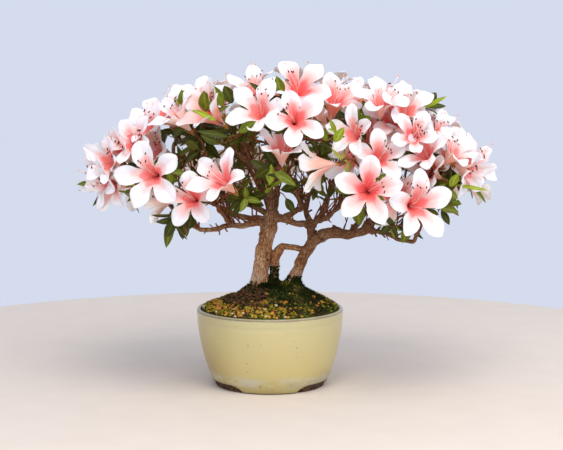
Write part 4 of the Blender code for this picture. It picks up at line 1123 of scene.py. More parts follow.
def add_blade(heap, root, along, face_up, length, width, fold, droop, draw):
    """A pointed oval leaf, folded a little along its rib, which droops by so many degrees."""
    root, along, face_up = (np.array(v, float) for v in (root, along, face_up))
    side = unit(np.cross(along, face_up))
    lift = np.cross(side, along)
    t = np.linspace(0, 1, BLADE_ROWS)
    bend = (np.radians(droop) * t)[:, None]
    steps = np.cos(bend) * along - np.sin(bend) * lift
    line = root + np.vstack([np.zeros(3), np.cumsum(steps[1:] * np.diff(t)[:, None], axis=0)]) * length
    up = np.cos(bend) * lift + np.sin(bend) * along
    half = width / 2 * np.sin(math.pi * t**0.92) ** 0.85
    half[0], half[-1] = width * BLADE_BASE, width * BLADE_TIP
    columns = np.linspace(-1, 1, BLADE_COLUMNS)
    rise = fold * np.abs(columns) ** 1.3 + draw.uniform(-0.10, 0.10) * columns
    grid = line[:, None] + half[:, None, None] * (
        columns[None, :, None] * side + rise[None, :, None] * up[:, None]
    )
    ends = [np.linspace(0.02, 0.98, count) for count in (BLADE_COLUMNS, BLADE_ROWS)]
    heap.add(*two_sided(grid, lift, BLADE_SHEET), two_sided_places(*ends))


# Leaves and finer twigs

LIMB_STEP = 0.0022
LEAF_COLOURS = {            # upper side, underside, rib
    "dark": ((0.055, 0.065, 0.004), (0.130, 0.140, 0.020), (0.135, 0.150, 0.020)),
    "green": ((0.145, 0.178, 0.009), (0.225, 0.250, 0.034), (0.250, 0.290, 0.040)),
    "young": ((0.330, 0.430, 0.022), (0.410, 0.440, 0.080), (0.500, 0.540, 0.110)),
    "worn": ((0.190, 0.110, 0.025), (0.270, 0.170, 0.060), (0.280, 0.200, 0.065)),
}
LEAF_SHARES = (0.57, 0.33, 0.06, 0.04)
LEAF_ROOT = 0.0008          # a leaf's foot lies this far inside its twig
BLOSSOM_LEAVES = 4
SPRIG_EXTRA = 2
TWIGLETS = 3                # side twiglets that each twig may bear
TWIGLET_LENGTH = (0.010, 0.024)
TWIGLET_RADII = (0.0007, 0.00045)
TWIGLET_BEND = 0.0015
LEAF_REACH = 0.010          # how far a twiglet's leaves stand past its end
TWIG_SIDES = 5
TWIG_STEP = 0.004
TWIG_KINK = 0.00045
LIFT = Vector((0, 0, 0.25))     # twigs turn up by this


def pick(draw, names, shares):
    return draw.choices(names, shares)[0]


def add_spray(heaps, room, name, tip, out, count, scale, draw):
    """A whorl of leaves of one tint round a twig's end; a leaf that would touch a blossom is left out."""
    tint = pick(draw, list(LEAF_COLOURS), LEAF_SHARES)
    young = tint == "young"
    for root, direction, length in whorl(tip, out, count, draw):
        if young:
            direction = (direction + out * 1.2).normalized()
        length *= scale * draw.uniform(0.62, 1.0) * (0.75 if young else 1.0)
        width = LEAF_WIDTH * length / LEAF_LENGTH * draw.uniform(0.80, 1.22) * (0.6 if young else 1.0)
        solid = leaf_solid(root, direction, out, length, width)
        if keeps_to_space(name, solid[0], LEAF_LEAN) and room.is_free(name, solid, ("blossom",)):
            droop = draw.uniform(-14, 6) if young else draw.uniform(-6, 30)
            fold, foot = draw.uniform(0.12, 0.38), root - direction * LEAF_ROOT
            add_blade(heaps[tint], foot, direction, out, length, width, fold, droop, draw)


def add_twig(heap, places, radii, draw):
    """A twig with slight kinks and swellings; gives back its line."""
    line = smooth_line(places, TWIG_STEP)
    kink = np.array([scatter(draw) for _ in line]) * TWIG_KINK
    kink[0] = kink[-1] = 0
    line = line + kink
    radii = np.linspace(*radii, len(line)) * np.array([draw.uniform(0.88, 1.18) for _ in line])
    heap.add(*pipe(line, radii, TWIG_SIDES))
    return line


def leafiness(place):
    """Share of the twigs here that bear leaves: the inner and lower twigs are mostly bare."""
    reach = Vector([(place[k] - CROWN_MIDDLE[k]) / CROWN_REACH[k] for k in range(3)]).length
    low = float(smooth_step(0.150, 0.195, place.z))
    return 0.12 + 0.88 * float(smooth_step(0.45, 0.85, reach)) * (0.45 + 0.55 * low)


def add_twiglets(heaps, room, name, line, draw):
    """Short side twigs, each with a spray, from the middle of a twig."""
    for _ in range(TWIGLETS):
        i = draw.randrange(1, max(2, len(line) - 1))
        start = Vector(line[i])
        along = Vector(line[min(i + 1, len(line) - 1)] - line[i - 1]).normalized()
        aside = Vector(scatter(draw))
        aside = (aside - along * aside.dot(along)).normalized()
        away = (along * 0.7 + aside * 0.8 + LIFT).normalized()
        length = draw.uniform(*TWIGLET_LENGTH)
        middle = start + away * length * 0.5 + Vector(scatter(draw, TWIGLET_BEND))
        end = start + away * length
        path = [start, middle, end]
        if not room.is_free(name, twig_solid(path, 0.0007, 0.0005), ("blossom",)):
            continue
        if not keeps_to_outline([end + away * LEAF_REACH]):
            continue
        leafy = draw.random() < leafiness(end)
        if leafy or away.z >= 0:
            add_twig(heaps["twig"], path, TWIGLET_RADII, draw)
        if leafy:
            count, scale = draw.choice((3, 4, 4, 5)), draw.uniform(0.55, 0.90)
            add_spray(heaps, room, name, end, away, count, scale, draw)


FINE_TWIGS = 9              # bare or sparsely leaved twigs that each bough bears
FINE_LENGTH = (0.010, 0.032)
FINE_RADIUS = 0.00085
FINE_FORKS = 2
FINE_LEAFY = 0.42           # share of them that bear leaves, where all other twigs do


def add_fine_twigs(heaps, room, draw):
    """Thin twigs that rise from the boughs, most of them bare, which fork once or twice."""
    for name in HUBS:
        line = limb_curve("bough_" + name, LIMB_STEP)
        for _ in range(FINE_TWIGS):
            i = draw.randrange(len(line) // 6, len(line) - 2)
            start = Vector(line[i, :3])
            along = Vector(line[i + 1, :3] - line[i - 1, :3]).normalized()
            jitter = Vector(scatter(draw))
            away = (along * 0.5 + Vector((0, 0, draw.uniform(0.5, 1.1))) + jitter * 0.5).normalized()
            length = draw.uniform(*FINE_LENGTH)
            grow_fine_twig(heaps, room, name, start, away, length, FINE_RADIUS, FINE_FORKS, draw)


def grow_fine_twig(heaps, room, name, start, away, length, radius, forks, draw):
    """A thin twig and its forks, unless it would meet a blossom."""
    bend = Vector(scatter(draw)) * length * 0.09
    middle = start + away * length * 0.5 + bend
    end = start + away * length + Vector((0, 0, length * draw.uniform(-0.05, 0.2)))
    path, radii = [start, middle, end], (radius, radius * 0.6)
    if room.touches(*twig_solid(path, *radii), lambda _, kind: kind == "blossom"):
        return
    add_twig(heaps["twig"], path, radii, draw)
    if draw.random() < FINE_LEAFY * leafiness(end):
        add_spray(heaps, room, name, end, away, draw.choice((2, 3, 4)), draw.uniform(0.5, 0.85), draw)
    for _ in range(forks):
        jitter = Vector(scatter(draw))
        side = (away * 0.8 + jitter * 0.6 + LIFT).normalized()
        root = middle.lerp(end, draw.random())
        grow_fine_twig(heaps, room, name, root, side, length * 0.55, radius * 0.7, forks - 1, draw)


# Leaves that stand out in the front view: foot across, up and behind the crown's front in millimetres,
# turn in the view from upright to the right and lean to the viewer in degrees, length, width and colour
FRONT_LEAVES = (
    (-72, 238, -4, -8, 20, 15, 9.5, "green"), (-54, 234, -4, -4, 25, 18, 11, "green"),
    (-40, 238, -4, -22, 15, 19, 8.5, "green"), (-32, 241, -2, -24, 15, 16, 10, "dark"),
    (10, 247, -4, -14, 15, 17, 9, "green"), (-26, 216, -2, 55, 30, 19, 8, "green"),
    (-46, 226, -6, -62, 25, 22, 5, "young"), (-36, 212, 4, -76, 20, 26, 5.5, "dark"),
    (-44, 206, 4, -60, 25, 17, 6.5, "dark"), (-144, 173, 4, -92, 10, 20, 5.5, "green"),
    (-140, 166, 4, -140, 10, 17, 3.5, "dark"), (-84, 141, 40, 190, 15, 24, 8, "green"),
    (-76, 141, 40, 172, 20, 17, 7, "dark"), (-66, 146, 36, 195, 20, 14, 9.5, "dark"),
    (0, 172, 20, 4, 20, 18, 7, "young"), (4, 182, 10, 118, 25, 21, 7.5, "green"),
    (-12, 178, 16, 55, 30, 17, 8, "dark"), (-16, 192, 16, 120, 20, 28, 8, "dark"),
    (55, 208, 0, 30, 25, 15, 7.5, "young"), (48, 209, 2, -25, 25, 13, 6, "green"),
    (77, 222, 4, 42, 30, 12, 8.5, "green"), (73, 224, 4, 8, 30, 12, 8, "green"),
    (129, 236, 6, 62, 10, 23, 4, "young"), (118, 134, 12, 205, 20, 14, 8, "green"),
    (132, 148, 14, 95, 20, 12, 6.5, "dark"), (153, 170, 6, 30, 25, 14, 7, "young"),
    (158, 171, 6, 98, 10, 27, 3.5, "young"), (150, 166, 8, 125, 20, 12, 7, "green"),
    (10, 167, 50, 75, 20, 17, 8, "dark"), (14, 159, 50, 150, 20, 14, 7, "dark"),
    (56, 167, 30, 95, 20, 17, 7, "green"), (144, 152, 16, 100, 20, 17, 6.5, "green"),
    (146, 149, 18, 150, 20, 14, 6, "dark"), (150, 155, 16, 130, 20, 15, 5, "worn"),
    (54, 148, 14, 150, 15, 12, 4, "dark"), (52, 149, 14, 60, 15, 13, 4.5, "dark"),
    (74, 150, 6, 170, 20, 13, 11, "green"),
)
LEAF_FROM_TWIG = 0.024      # no farther than this from the twig that carries it
LEAF_STALK_RADII = (0.0006, 0.0004)


def add_front_leaves(heaps, lines, draw):
    """Each on a stalk from the nearest twig."""
    limbs = [limb_curve("bough_" + name, LIMB_STEP)[:, :3] for name in HUBS]
    twigs = np.vstack([*lines, *limbs])
    for *place, turn, lean, length, width, tint in FRONT_LEAVES:
        foot = front_place(*place)
        length, width = length / 1000, width / 1000
        gaps = np.linalg.norm(twigs - np.array(foot), axis=1)
        if gaps.min() > LEAF_FROM_TWIG:
            continue
        nearest = Vector(twigs[gaps.argmin()])
        turn, lean = math.radians(turn), math.radians(lean)
        along = Vector((math.sin(turn) * math.cos(lean), -math.sin(lean), math.cos(turn) * math.cos(lean)))
        middle = nearest.lerp(foot, 0.6) - along * length * 0.12
        add_twig(heaps["twig"], [nearest, middle, foot], LEAF_STALK_RADII, draw)
        face = (Vector((draw.uniform(-0.3, 0.3), -1, 0.35)) - along * 0.1).normalized()
        fold, droop = draw.uniform(0.12, 0.3), draw.uniform(0, 22)
        add_blade(heaps[tint], foot - along * LEAF_ROOT, along, face, length, width, fold, droop, draw)


def front_blossoms(room, throats):
    """The front's blossoms, each slid along the line of sight to where it clears the ones before it."""
    for (*place, behind, heading, rise, roll, size, opened), tint in zip(FRONT_BLOSSOMS, FRONT_TINTS):
        out = facing(heading, rise)
        choices = []
        for slide in SETTLE:
            throat = front_place(*place, behind + slide)
            calyx = throat - out * THROAT_HEIGHT * size
            solid = blossom_solid(calyx, out, roll, size, opened)
            choices.append((owner_of(calyx), calyx, out, solid, roll, size, opened))
        clear = [c for c in choices if room.is_free(c[0], c[3], ("blossom", "twig"))]
        clear = clear or [c for c in choices if room.is_free(c[0], c[3])]
        if clear:
            throats.append(throat)
            yield (*clear[0], tint)


def spread_blossoms(room, taken, looks):
    """Blossoms by rule over the rest of the crown, smaller where there is less room."""
    draw = random.Random(SEED)
    for throat, out in crown_places(taken, SPREAD_APART, SPREAD_SINKS, draw):
        if throat.z < SPREAD_FROM:
            continue
        size, opened = draw.uniform(*SPREAD_SIZES), draw.uniform(*SPREAD_OPENED)
        roll = draw.uniform(0, 360 / PETALS)
        for smaller, inwards in FITS:
            calyx = throat - out * (THROAT_HEIGHT * size * smaller + inwards)
            solid = blossom_solid(calyx, out, roll, size * smaller, opened)
            if keeps_to_outline(solid[0]) and room.is_free(owner_of(calyx), solid, ("blossom", "twig")):
                tint = pick(looks, TINT_ORDER, TINT_SHARES)
                yield owner_of(calyx), calyx, out, solid, roll, size * smaller, opened, tint
                break


TWIG_SLANT = 0.16           # how far a twig runs along with its stem before it turns away
FORK_GAIN = 0.92            # a twig forks from an earlier one that is nearer than the stem by this
FORK_TO = 0.55              # share of that one's middle stretch where forks may start
FORK_TRIES = 2
FORK_RADII = (0.00090, 0.0006)


def fork_start(paths, before, draw):
    """A place on an earlier twig that points nearly at this end, with its way there, or None."""
    best = None
    for path in paths:
        start = path[1].lerp(path[2], draw.uniform(0.0, FORK_TO))
        way = (path[2] - path[1]).normalized()
        gap = before - start
        if gap.normalized().dot(way) > 0.5 and (best is None or gap.length < best[0]):
            best = gap.length, start, way
    return best


def join_twigs(name, ends, room, draw):
    """A twig's path from the stem to each end; gives back the ends that were reached, with their paths."""
    stem = stem_path(name)
    way = (stem[-1] - stem[0]).normalized()
    ends.sort(key=lambda end: (end["place"] - stem[0]).dot(way))
    reached = []
    for rank, end in enumerate(ends):
        share = TWIG_FROM + (TWIG_TO - TWIG_FROM) * (rank + 0.5) / len(ends)
        before = end["place"] - end["out"] * STALK
        for turn in range(TWIG_TRIES):
            start, ahead, radii = place_along(stem, share), way, TWIG_RADII
            paths = [other["path"] for other in reached]
            fork = fork_start(paths, before, draw) if turn < FORK_TRIES else None
            if fork and fork[0] < FORK_GAIN * (before - start).length:
                _, start, ahead = fork
                radii = FORK_RADII
            bend = Vector(scatter(draw, TWIG_BEND))
            slant = start.lerp(before, 0.38) + ahead * (before - start).length * TWIG_SLANT - bend * 0.8
            path = [start, slant, before + bend, end["place"] + end["out"] * end["sunk"]]
            twig = twig_solid(path, *radii)
            if room.is_free(name, twig):
                room.add(name, "twig", twig)
                reached.append({**end, "path": path, "radii": radii})
                break
            share = draw.uniform(TWIG_FROM, TWIG_TO)
    return reached


def grow_crown():
    """The crown by the same rule as the solids, carried on to finer twigs, as a heap of each kind."""
    heaps = {kind: Heap() for kind in (*TINTS, *LEAF_COLOURS, *SMALL_PIECES)}
    looks = random.Random(SEED + 5)
    room, throats = Room(), []
    ends = {name: [] for name in HUBS}
    for name in LIMBS:
        room.add(name, "limb", limb_solid(name))
    for name in HUBS:
        room.add(name, "twig", twig_solid(stem_path(name), *STEM_RADII))
    for blossoms in (front_blossoms(room, throats), spread_blossoms(room, throats, looks)):
        for owner, calyx, out, solid, roll, size, opened, tint in blossoms:
            room.add(owner, "blossom", solid)
            end = {"place": calyx, "out": out, "sunk": CALYX_SUNK, "tip": calyx - out * LEAVES_BELOW}
            ends[owner].append({**end, "leaves": BLOSSOM_LEAVES})
            add_blossom(heaps, tint, calyx, out, roll, size, opened, looks)
    for place, out, count in leafy_ends(throats):
        end = {"place": place, "out": out, "sunk": 0, "tip": place, "leaves": count + SPRIG_EXTRA}
        ends[owner_of(place)].append(end)
    draw = random.Random(SEED + 2)
    lines = {}
    for name in HUBS:
        stem_radii = STEM_RADII[0], STEM_RADII[1] * 0.7
        lines[name] = [add_twig(heaps["twig"], stem_path(name), stem_radii, looks)]
        ends[name] = join_twigs(name, ends[name], room, draw)
        lines[name] += [add_twig(heaps["twig"], end["path"], end["radii"], looks) for end in ends[name]]
    for name in HUBS:
        for end in ends[name]:
            scale = looks.uniform(0.85, 1.12)
            add_spray(heaps, room, name, end["tip"], end["out"], end["leaves"], scale, looks)
        for line in lines[name]:
            add_twiglets(heaps, room, name, line, looks)
    add_front_leaves(heaps, [line for some in lines.values() for line in some], looks)
    add_fine_twigs(heaps, room, looks)
    return heaps


SMALL_PIECES = {            # piece, slot, material, its dark and light colour, scale, roughness, bump
    "twig": ("twigs", "bark", "twig_bark", (0.075, 0.026, 0.011), (0.27, 0.098, 0.040), 260.0, 0.8, 0.0004),
    "filament": ("filaments", "blossom", "filament", (0.74, 0.20, 0.20), (0.90, 0.55, 0.50), 180.0, 0.5),
    "pistil": ("pistils", "blossom", "pistil", (0.80, 0.45, 0.36), (0.90, 0.74, 0.62), 90.0, 0.45),
    "stigma": ("stigmas", "blossom", "stigma", (0.76, 0.28, 0.13), (0.85, 0.46, 0.27), 900.0, 0.4),
    "anther": ("anthers", "blossom", "anther", (0.045, 0.008, 0.012), (0.14, 0.03, 0.035), 900.0, 0.6),
    "calyx": ("calyxes", "blossom", "calyx", (0.16, 0.14, 0.03), (0.34, 0.28, 0.07), 500.0, 0.6),
    "bud_scale": (
        "bud_scales", "blossom", "bud_scale", (0.30, 0.075, 0.018), (0.62, 0.24, 0.055), 220.0, 0.42,
    ),
}


def build_crown():
    """The crown's pieces, in place of the masses, which are hidden."""
    heaps = grow_crown()
    for kind, (tint, spread, depth) in TINTS.items():
        name = tint + "_petals"
        heaps[kind].make(name, petal_finish(name, spread, depth), "blossom", bake=quarter)
    for tint, colours in LEAF_COLOURS.items():
        heaps[tint].make(tint + "_leaves", leaf_finish(tint + "_leaf", *colours), "blossom", bake=quarter)
    for kind, (name, slot, *material) in SMALL_PIECES.items():
        heaps[kind].make(name, plain_finish(*material), slot, bake=quarter if kind == "bud_scale" else None)
    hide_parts(*["mass_" + name for name in HUBS])


# Trunks and boughs, joined into one skin with the bark's relief

LIMB_SIDES = 20
LIMB_WANDER = 0.0008        # how far a limb strays from its smooth curve
LIMB_SWELL = 0.10           # and how far its radius, as a share
LIMB_LUMPS = 0.11
LIMB_VOXEL = 0.00058
TRUNK_SINK = 0.004          # the trunks run on this far into the soil
ROOT_REACH = 140            # how fast the root ridges fade, for each metre of limb
BARK_WIDEST = 0.006         # the relief grows with the limb's radius up to this
FIBRE_DEPTH, PLATE_DEPTH, LUMP_DEPTH = 0.032, 0.036, 0.085      # shares of that radius
GRAIN_SCALE = 100
GRAIN_BATCH = 20000


def limb_line(name):
    """(x, y, z, radius) along a limb, close together, with its small bends."""
    line = limb_curve(name, LIMB_STEP)
    share = np.linspace(0, 1, len(line))[:, None]
    wander = [rough(line[:, :3] * 170 + 30 * k, 61 + k, 2) for k in range(3)]
    line[:, :3] += np.stack(wander, 1) * LIMB_WANDER * np.sin(math.pi * share) ** 0.5
    line[:, 3] *= 1 + LIMB_SWELL * rough(line[:, :3] * 260, 71, 1)
    if stands_in_soil(name):
        line = np.vstack([line[0] - (0, 0, TRUNK_SINK, 0), line])
    return line


def limb_ways(line):
    """The way along at each place of a line, and two steady directions across it."""
    along = unit(np.gradient(line[:, :3], axis=0))
    return (along, *across_ways(along, LIMB_SKEW))


def rough_skin():
    """The limbs with the lumps of old wood, the stumps of cuts and the stubs, as one heap."""
    heap = Heap()
    turns = full_turn(LIMB_SIDES)
    for number, name in enumerate(LIMBS):
        line = limb_line(name)
        run = np.arange(len(line)) * LIMB_STEP
        roots = LIMBS[name][1] * np.exp(-run * ROOT_REACH)
        ridge = 1 + roots[:, None] * (0.6 + np.cos(ROOT_RIDGES * turns + number))
        where = (np.cos(turns) * 0.9, np.sin(turns) * 0.9 + number * 7, run[:, None] * 110)
        lump = rough(np.stack(np.broadcast_arrays(*where), -1).reshape(-1, 3), 3, 2)
        reach = line[:, 3:] * (ridge * (1 + LIMB_LUMPS * lump.reshape(ridge.shape)))
        rings = rings_along(line[:, :3], reach, limb_ways(line)[1:], turns)
        heap.add(*capped(rings, line[:1, :3], line[-1:, :3]))
    for place, out, radius, length in KNOTS:
        way = facing(*out)
        line = [Vector(place) + way * length * t for t in STUMP_PLACES]
        heap.add(*pipe(line, np.array(STUMP_GIRTH) * radius, STUMP_SIDES))
    add_stubs(heap, random.Random(SEED + 21))
    return heap


# Stumps of old cuts: place, way out (heading, rise), radius, length
KNOTS = (
    ((-0.0026, -0.0056, 0.1078), (14, 5), 0.0024, 0.0017),
    ((0.0130, -0.0050, 0.1445), (10, 30), 0.0021, 0.0022),
    ((0.0178, -0.0068, 0.1438), (20, 25), 0.0018, 0.0018),
    ((0.0450, -0.0048, 0.1255), (0, -10), 0.0025, 0.0012),
    ((-0.0070, -0.0062, 0.1300), (-12, 8), 0.0018, 0.0012),
    ((0.0310, -0.0036, 0.1120), (-8, 4), 0.0016, 0.0010),
)
FRESH_CUTS = (1, 2)
STUMP_PLACES, STUMP_GIRTH, STUMP_SIDES = (-0.6, 0.0, 0.6, 1.0), (1.45, 1.35, 1.2, 0.95), 14
CUT_PLACES, CUT_GIRTH, CUT_SIDES = (-0.0006, 0.0002, 0.0004), (0.66, 0.62, 0.38), 16
STUBS_PER_METRE = 95        # short dead side twigs and old cuts on the boughs
STUB_LENGTH = (0.0016, 0.0052)
STUB_RADIUS = (0.28, 0.5)   # as a share of the bough's
STUB_LEAST = 0.0006
STUB_SIDES = 7


def add_stubs(heap, draw):
    """Short stubs that stand off the boughs, some of them knobby ends of old cuts."""
    for name in LIMBS:
        if stands_in_soil(name):
            continue
        line = limb_line(name)
        for _ in range(round(STUBS_PER_METRE * len(line) * LIMB_STEP)):
            i = draw.randrange(3, len(line) - 2)
            start, thick = line[i, :3], line[i, 3]
            along = unit(line[i + 1, :3] - line[i - 1, :3])
            aside = np.array(scatter(draw))
            aside = unit(aside - along * aside.dot(along))
            way = unit(aside + along * draw.uniform(0.1, 0.8))
            radius = max(STUB_LEAST, thick * draw.uniform(*STUB_RADIUS))
            end = start + way * (thick + draw.uniform(*STUB_LENGTH))
            middle = (start + end) / 2 + aside * 0.0003
            girth = (radius * 1.25, radius, radius * draw.uniform(0.7, 1.15))
            heap.add(*pipe(np.stack([start, middle, end]), girth, STUB_SIDES))


def build_knots():
    """Dark hollows of healed cuts, and the pale faces of two fresh ones."""
    old, fresh = Heap(), Heap()
    for number, (place, out, radius, length) in enumerate(KNOTS):
        way = np.array(facing(*out))
        disc = np.array(place) + way * length + np.outer(CUT_PLACES, way)
        heap = fresh if number in FRESH_CUTS else old
        heap.add(*pipe(disc, np.array(CUT_GIRTH) * radius, CUT_SIDES))
    old_finish = plain_finish("old_knot", (0.045, 0.019, 0.010), (0.17, 0.085, 0.045), 700.0, 0.9)
    cut_finish = plain_finish("cut_end", (0.45, 0.33, 0.22), (0.72, 0.60, 0.45), 900.0, 0.8)
    old.make("old_knots", old_finish, "bark")
    fresh.make("cut_ends", cut_finish, "bark")


def read_rows(vertices, label):
    """Three numbers of each vertex, as rows."""
    values = np.empty(len(vertices) * 3, np.float32)
    vertices.foreach_get(label, values)
    return values.reshape(-1, 3).astype(float)


def build_limbs():
    """One closed skin over all limbs, with the relief of the bark."""
    piece = rough_skin().make("limbs", bark_finish(), "bark")
    skin = piece.modifiers.new("skin", "REMESH")
    skin.mode = "VOXEL"
    skin.voxel_size = LIMB_VOXEL
    bpy.context.view_layer.objects.active = piece
    bpy.ops.object.modifier_apply(modifier=skin.name)
    mesh = piece.data
    points, normals = (read_rows(mesh.vertices, label) for label in ("co", "normal"))
    grain = grain_of(points - np.array(AXIS))
    fibre = rough(grain[:, :3] * (700, 700, 230), 11, 3)
    plate = rough(grain[:, :3] * (330, 330, 120) + 40, 12, 2)
    lump = rough(points * 150, 13, 2)
    height = FIBRE_DEPTH * fibre + PLATE_DEPTH * np.sign(plate) * np.abs(plate) ** 0.6 + LUMP_DEPTH * lump
    points += normals * (height * np.minimum(grain[:, 3], BARK_WIDEST))[:, None]
    mesh.vertices.foreach_set("co", points.astype(np.float32).ravel())
    layer = mesh.attributes.new("grain", "FLOAT_VECTOR", "POINT")
    layer.data.foreach_set("vector", (grain[:, :3] * GRAIN_SCALE).astype(np.float32).ravel())
    mesh.polygons.foreach_set("use_smooth", np.full(len(mesh.polygons), True))
    mesh.update()
    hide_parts(*LIMBS)


def grain_of(points):
    """Each point's place in the wood of the nearest limb (two ways across, one along), and its radius."""
    best = np.full(len(points), 1e9)
    out = np.zeros((len(points), 4))
    for number, name in enumerate(LIMBS):
        line = limb_line(name)
        along, sides, others = limb_ways(line)
        run = np.concatenate([[0], np.cumsum(np.linalg.norm(np.diff(line[:, :3], axis=0), axis=1))])
        for start in range(0, len(points), GRAIN_BATCH):
            batch = slice(start, start + GRAIN_BATCH)
            some = points[batch]
            gap = np.linalg.norm(some[:, None] - line[None, :, :3], axis=2) - line[None, :, 3]
            nearest = gap.argmin(axis=1)
            least = gap[np.arange(len(some)), nearest]
            off = some - line[nearest, :3]
            across, other = (off * sides[nearest]).sum(1), (off * others[nearest]).sum(1)
            far = run[nearest] + (off * along[nearest]).sum(1) + number * 0.37
            found = np.stack([across, other + number * 0.11, far, line[nearest, 3]], 1)
            closer = least < best[batch]
            out[batch][closer] = found[closer]
            best[batch][closer] = least[closer]
    return out


# Pot and feet

POT_TURNS = 240
POT_ROWS = 46
GLAZE_DIP = 0.0046          # the glaze hangs lower by this between the feet
GLAZE_LOW = 0.0056
DENT_RADIUS, DENT_DEPTH = 0.0011, 0.0005
BAND_WIDTH, BAND_DEPTH = 0.0011, 0.00028
THROWING_STEP, THROWING_DEPTH = 0.0047, 0.00003
WALL_UNEVEN = 0.00022
FOOT_SPAN = 27              # degrees on each side of a foot's middle
FOOT_MIDDLES = (-30, 90, 210)
FOOT_ROWS = 33
FOOT_UNEVEN = 0.00025


def wall_line(turn, heights):
    """Radius of the outer wall at these heights, with its groove, dent and throwing marks."""
    cos, sin = math.cos(turn), math.sin(turn)
    wall = wall_radius(heights)
    where = np.stack([np.full(POT_ROWS, cos), np.full(POT_ROWS, sin), heights * 40], 1)
    wall = wall + WALL_UNEVEN * rough(where * (1.6, 1.6, 1.0), 21, 2)
    wall = wall - BAND_DEPTH * np.exp(-(((heights - RIM_BAND) / BAND_WIDTH) ** 2))
    wall = wall + THROWING_DEPTH * np.sin(heights * math.tau / THROWING_STEP + sin * 0.8)
    aside, behind = (wall * cos - DENT.x) * 1.6, max(0.0, sin)
    gap = (heights - DENT.z) ** 2 + aside**2 + behind**2
    return wall - DENT_DEPTH * np.exp(-gap / DENT_RADIUS**2)


def pot_line(turn):
    """(radius, height) of outer wall, lip, inner wall and floor, from the underside's middle round."""
    from_foot = np.abs((np.degrees(turn) - np.array(FOOT_MIDDLES) + 180) % 360 - 180).min()
    low = GLAZE_LOW - GLAZE_DIP * smooth_step(FOOT_SPAN - 3, FOOT_SPAN + 7, from_foot)
    lip = POT_WALL / 2
    top = POT_HEIGHT - lip
    heights = low + (top - low) * np.linspace(0, 1, POT_ROWS) ** 0.9
    wall = wall_line(turn, heights)
    bow = np.radians(np.linspace(0, 180, 9)[1:-1])
    inner = np.linspace(top, POT_FLOOR + POT_WALL, 12)
    inside = wall_radius(inner) - POT_WALL
    return np.vstack([
        [(0, FOOT_HEIGHT + 0.0004), (FOOT_RADIUS - FOOT_WIDTH * 0.5, FOOT_HEIGHT + 0.0004)],
        [(wall[0] - 0.0022, FOOT_HEIGHT), (wall[0] - 0.0015, low + 0.0002), (wall[0] - 0.0006, low - 0.0003)],
        np.stack([wall, heights], 1),
        np.stack([wall[-1] - lip + lip * np.cos(bow), top + lip * np.sin(bow)], 1),
        np.stack([inside, inner], 1),
        [(inside[-1] - POT_WALL, POT_FLOOR), (0, POT_FLOOR)],
    ])


def build_pot():
    turns = full_turn(POT_TURNS)
    lines = np.array([pot_line(turn) for turn in turns])
    grid = turned(lines[..., 0], turns, lines[..., 1])
    heap = Heap()
    heap.add(*capped(grid[:, 1:-1].transpose(1, 0, 2), grid[0, 0], grid[0, -1]))
    pot = heap.make("glazed_pot", glaze_finish(), "glaze")
    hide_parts("pot")
    feet = Heap()
    for middle in FOOT_MIDDLES:
        feet.add(*foot_arc(math.radians(middle)))
    clay = plain_finish("bare_clay", (0.035, 0.018, 0.010), (0.14, 0.075, 0.042), 420.0, 0.9, 0.0005)
    feet.make("bare_feet", clay, "glaze")


def foot_arc(middle):
    """One foot: a rounded bar that follows the pot's edge, pinched at its two ends."""
    inner, outer = FOOT_RADIUS - FOOT_WIDTH, FOOT_RADIUS + 0.0002
    outline = np.array([
        (outer - 0.0004, FOOT_HEIGHT + 0.0007), (outer, 0.0022), (outer - 0.0002, 0.0008),
        (outer - 0.0009, 0.0), (inner + 0.0009, 0.0), (inner + 0.0001, 0.0007), (inner, 0.0024),
        (inner + 0.0004, FOOT_HEIGHT + 0.0007),
    ])
    share = np.linspace(-1, 1, FOOT_ROWS)
    turns = middle + np.radians(FOOT_SPAN) * share
    pinch = 1 - np.abs(share) ** 14 * 0.5
    centre = (inner + outer) / 2
    radius = centre + (outline[None, :, 0] - centre) * pinch[:, None]
    height = np.broadcast_to(outline[None, :, 1], radius.shape)
    where = np.stack([radius * 300, np.broadcast_to(turns[:, None] * 14, radius.shape), height * 300], -1)
    radius = radius + FOOT_UNEVEN * rough(where.reshape(-1, 3), 5, 2).reshape(radius.shape)
    grid = turned(radius, turns, height)
    return capped(grid, grid[0].mean(0), grid[-1].mean(0))


# Mound of soil, granules and moss

MOUND_TURNS = 150
MOUND_RINGS = 46
MOUND_TOP_RINGS = 13
MOUND_INSIDE = 0.0005       # the mound's edge stays this far from the pot's wall
SKIRT_SHARE, SKIRT_DROP = 0.995, 0.006
COLLARS = (                 # moss that climbs the feet of the trunks: x, y, height, width
    (-0.008, 0.0, 0.0030, 0.0105),
    (0.0030, -0.0020, 0.0085, 0.0050),
    (0.0195, 0.0, 0.0080, 0.0072),
    (0.0430, 0.0, 0.0034, 0.0170),
)


def mound(turn, share):
    """A place on the mound. share is -1 at its middle, 0 at its top's edge and 1 at the pot's wall."""
    inner, outer = np.clip(share + 1, 0, 1), np.clip(share, 0, 1)
    reach = POT_RADIUS - POT_WALL - MOUND_INSIDE
    x = SOIL_MIDDLE + SOIL_FLAT[0] * np.cos(turn) * inner
    y = SOIL_FLAT[1] * np.sin(turn) * inner
    x = x + (reach * np.cos(turn) - x) * outer
    y = y + (reach * np.sin(turn) - y) * outer
    z = soil_height(outer)
    place = np.stack([x, y, z], -1)
    bumps = rough(place.reshape(-1, 3) * 130, 31, 3).reshape(z.shape)
    lumps = rough(place.reshape(-1, 3) * 46, 35, 1).reshape(z.shape)
    z = z + (0.0007 * bumps + 0.0009 * lumps) * (1 - outer**6 * 0.7) - 0.0014 * smooth_step(0, 0.2, outer)
    for cx, cy, height, width in COLLARS:
        z = z + height * np.exp(-((x - cx) ** 2 + (y - cy) ** 2) / width**2)
    return np.stack([x, y, z], -1)


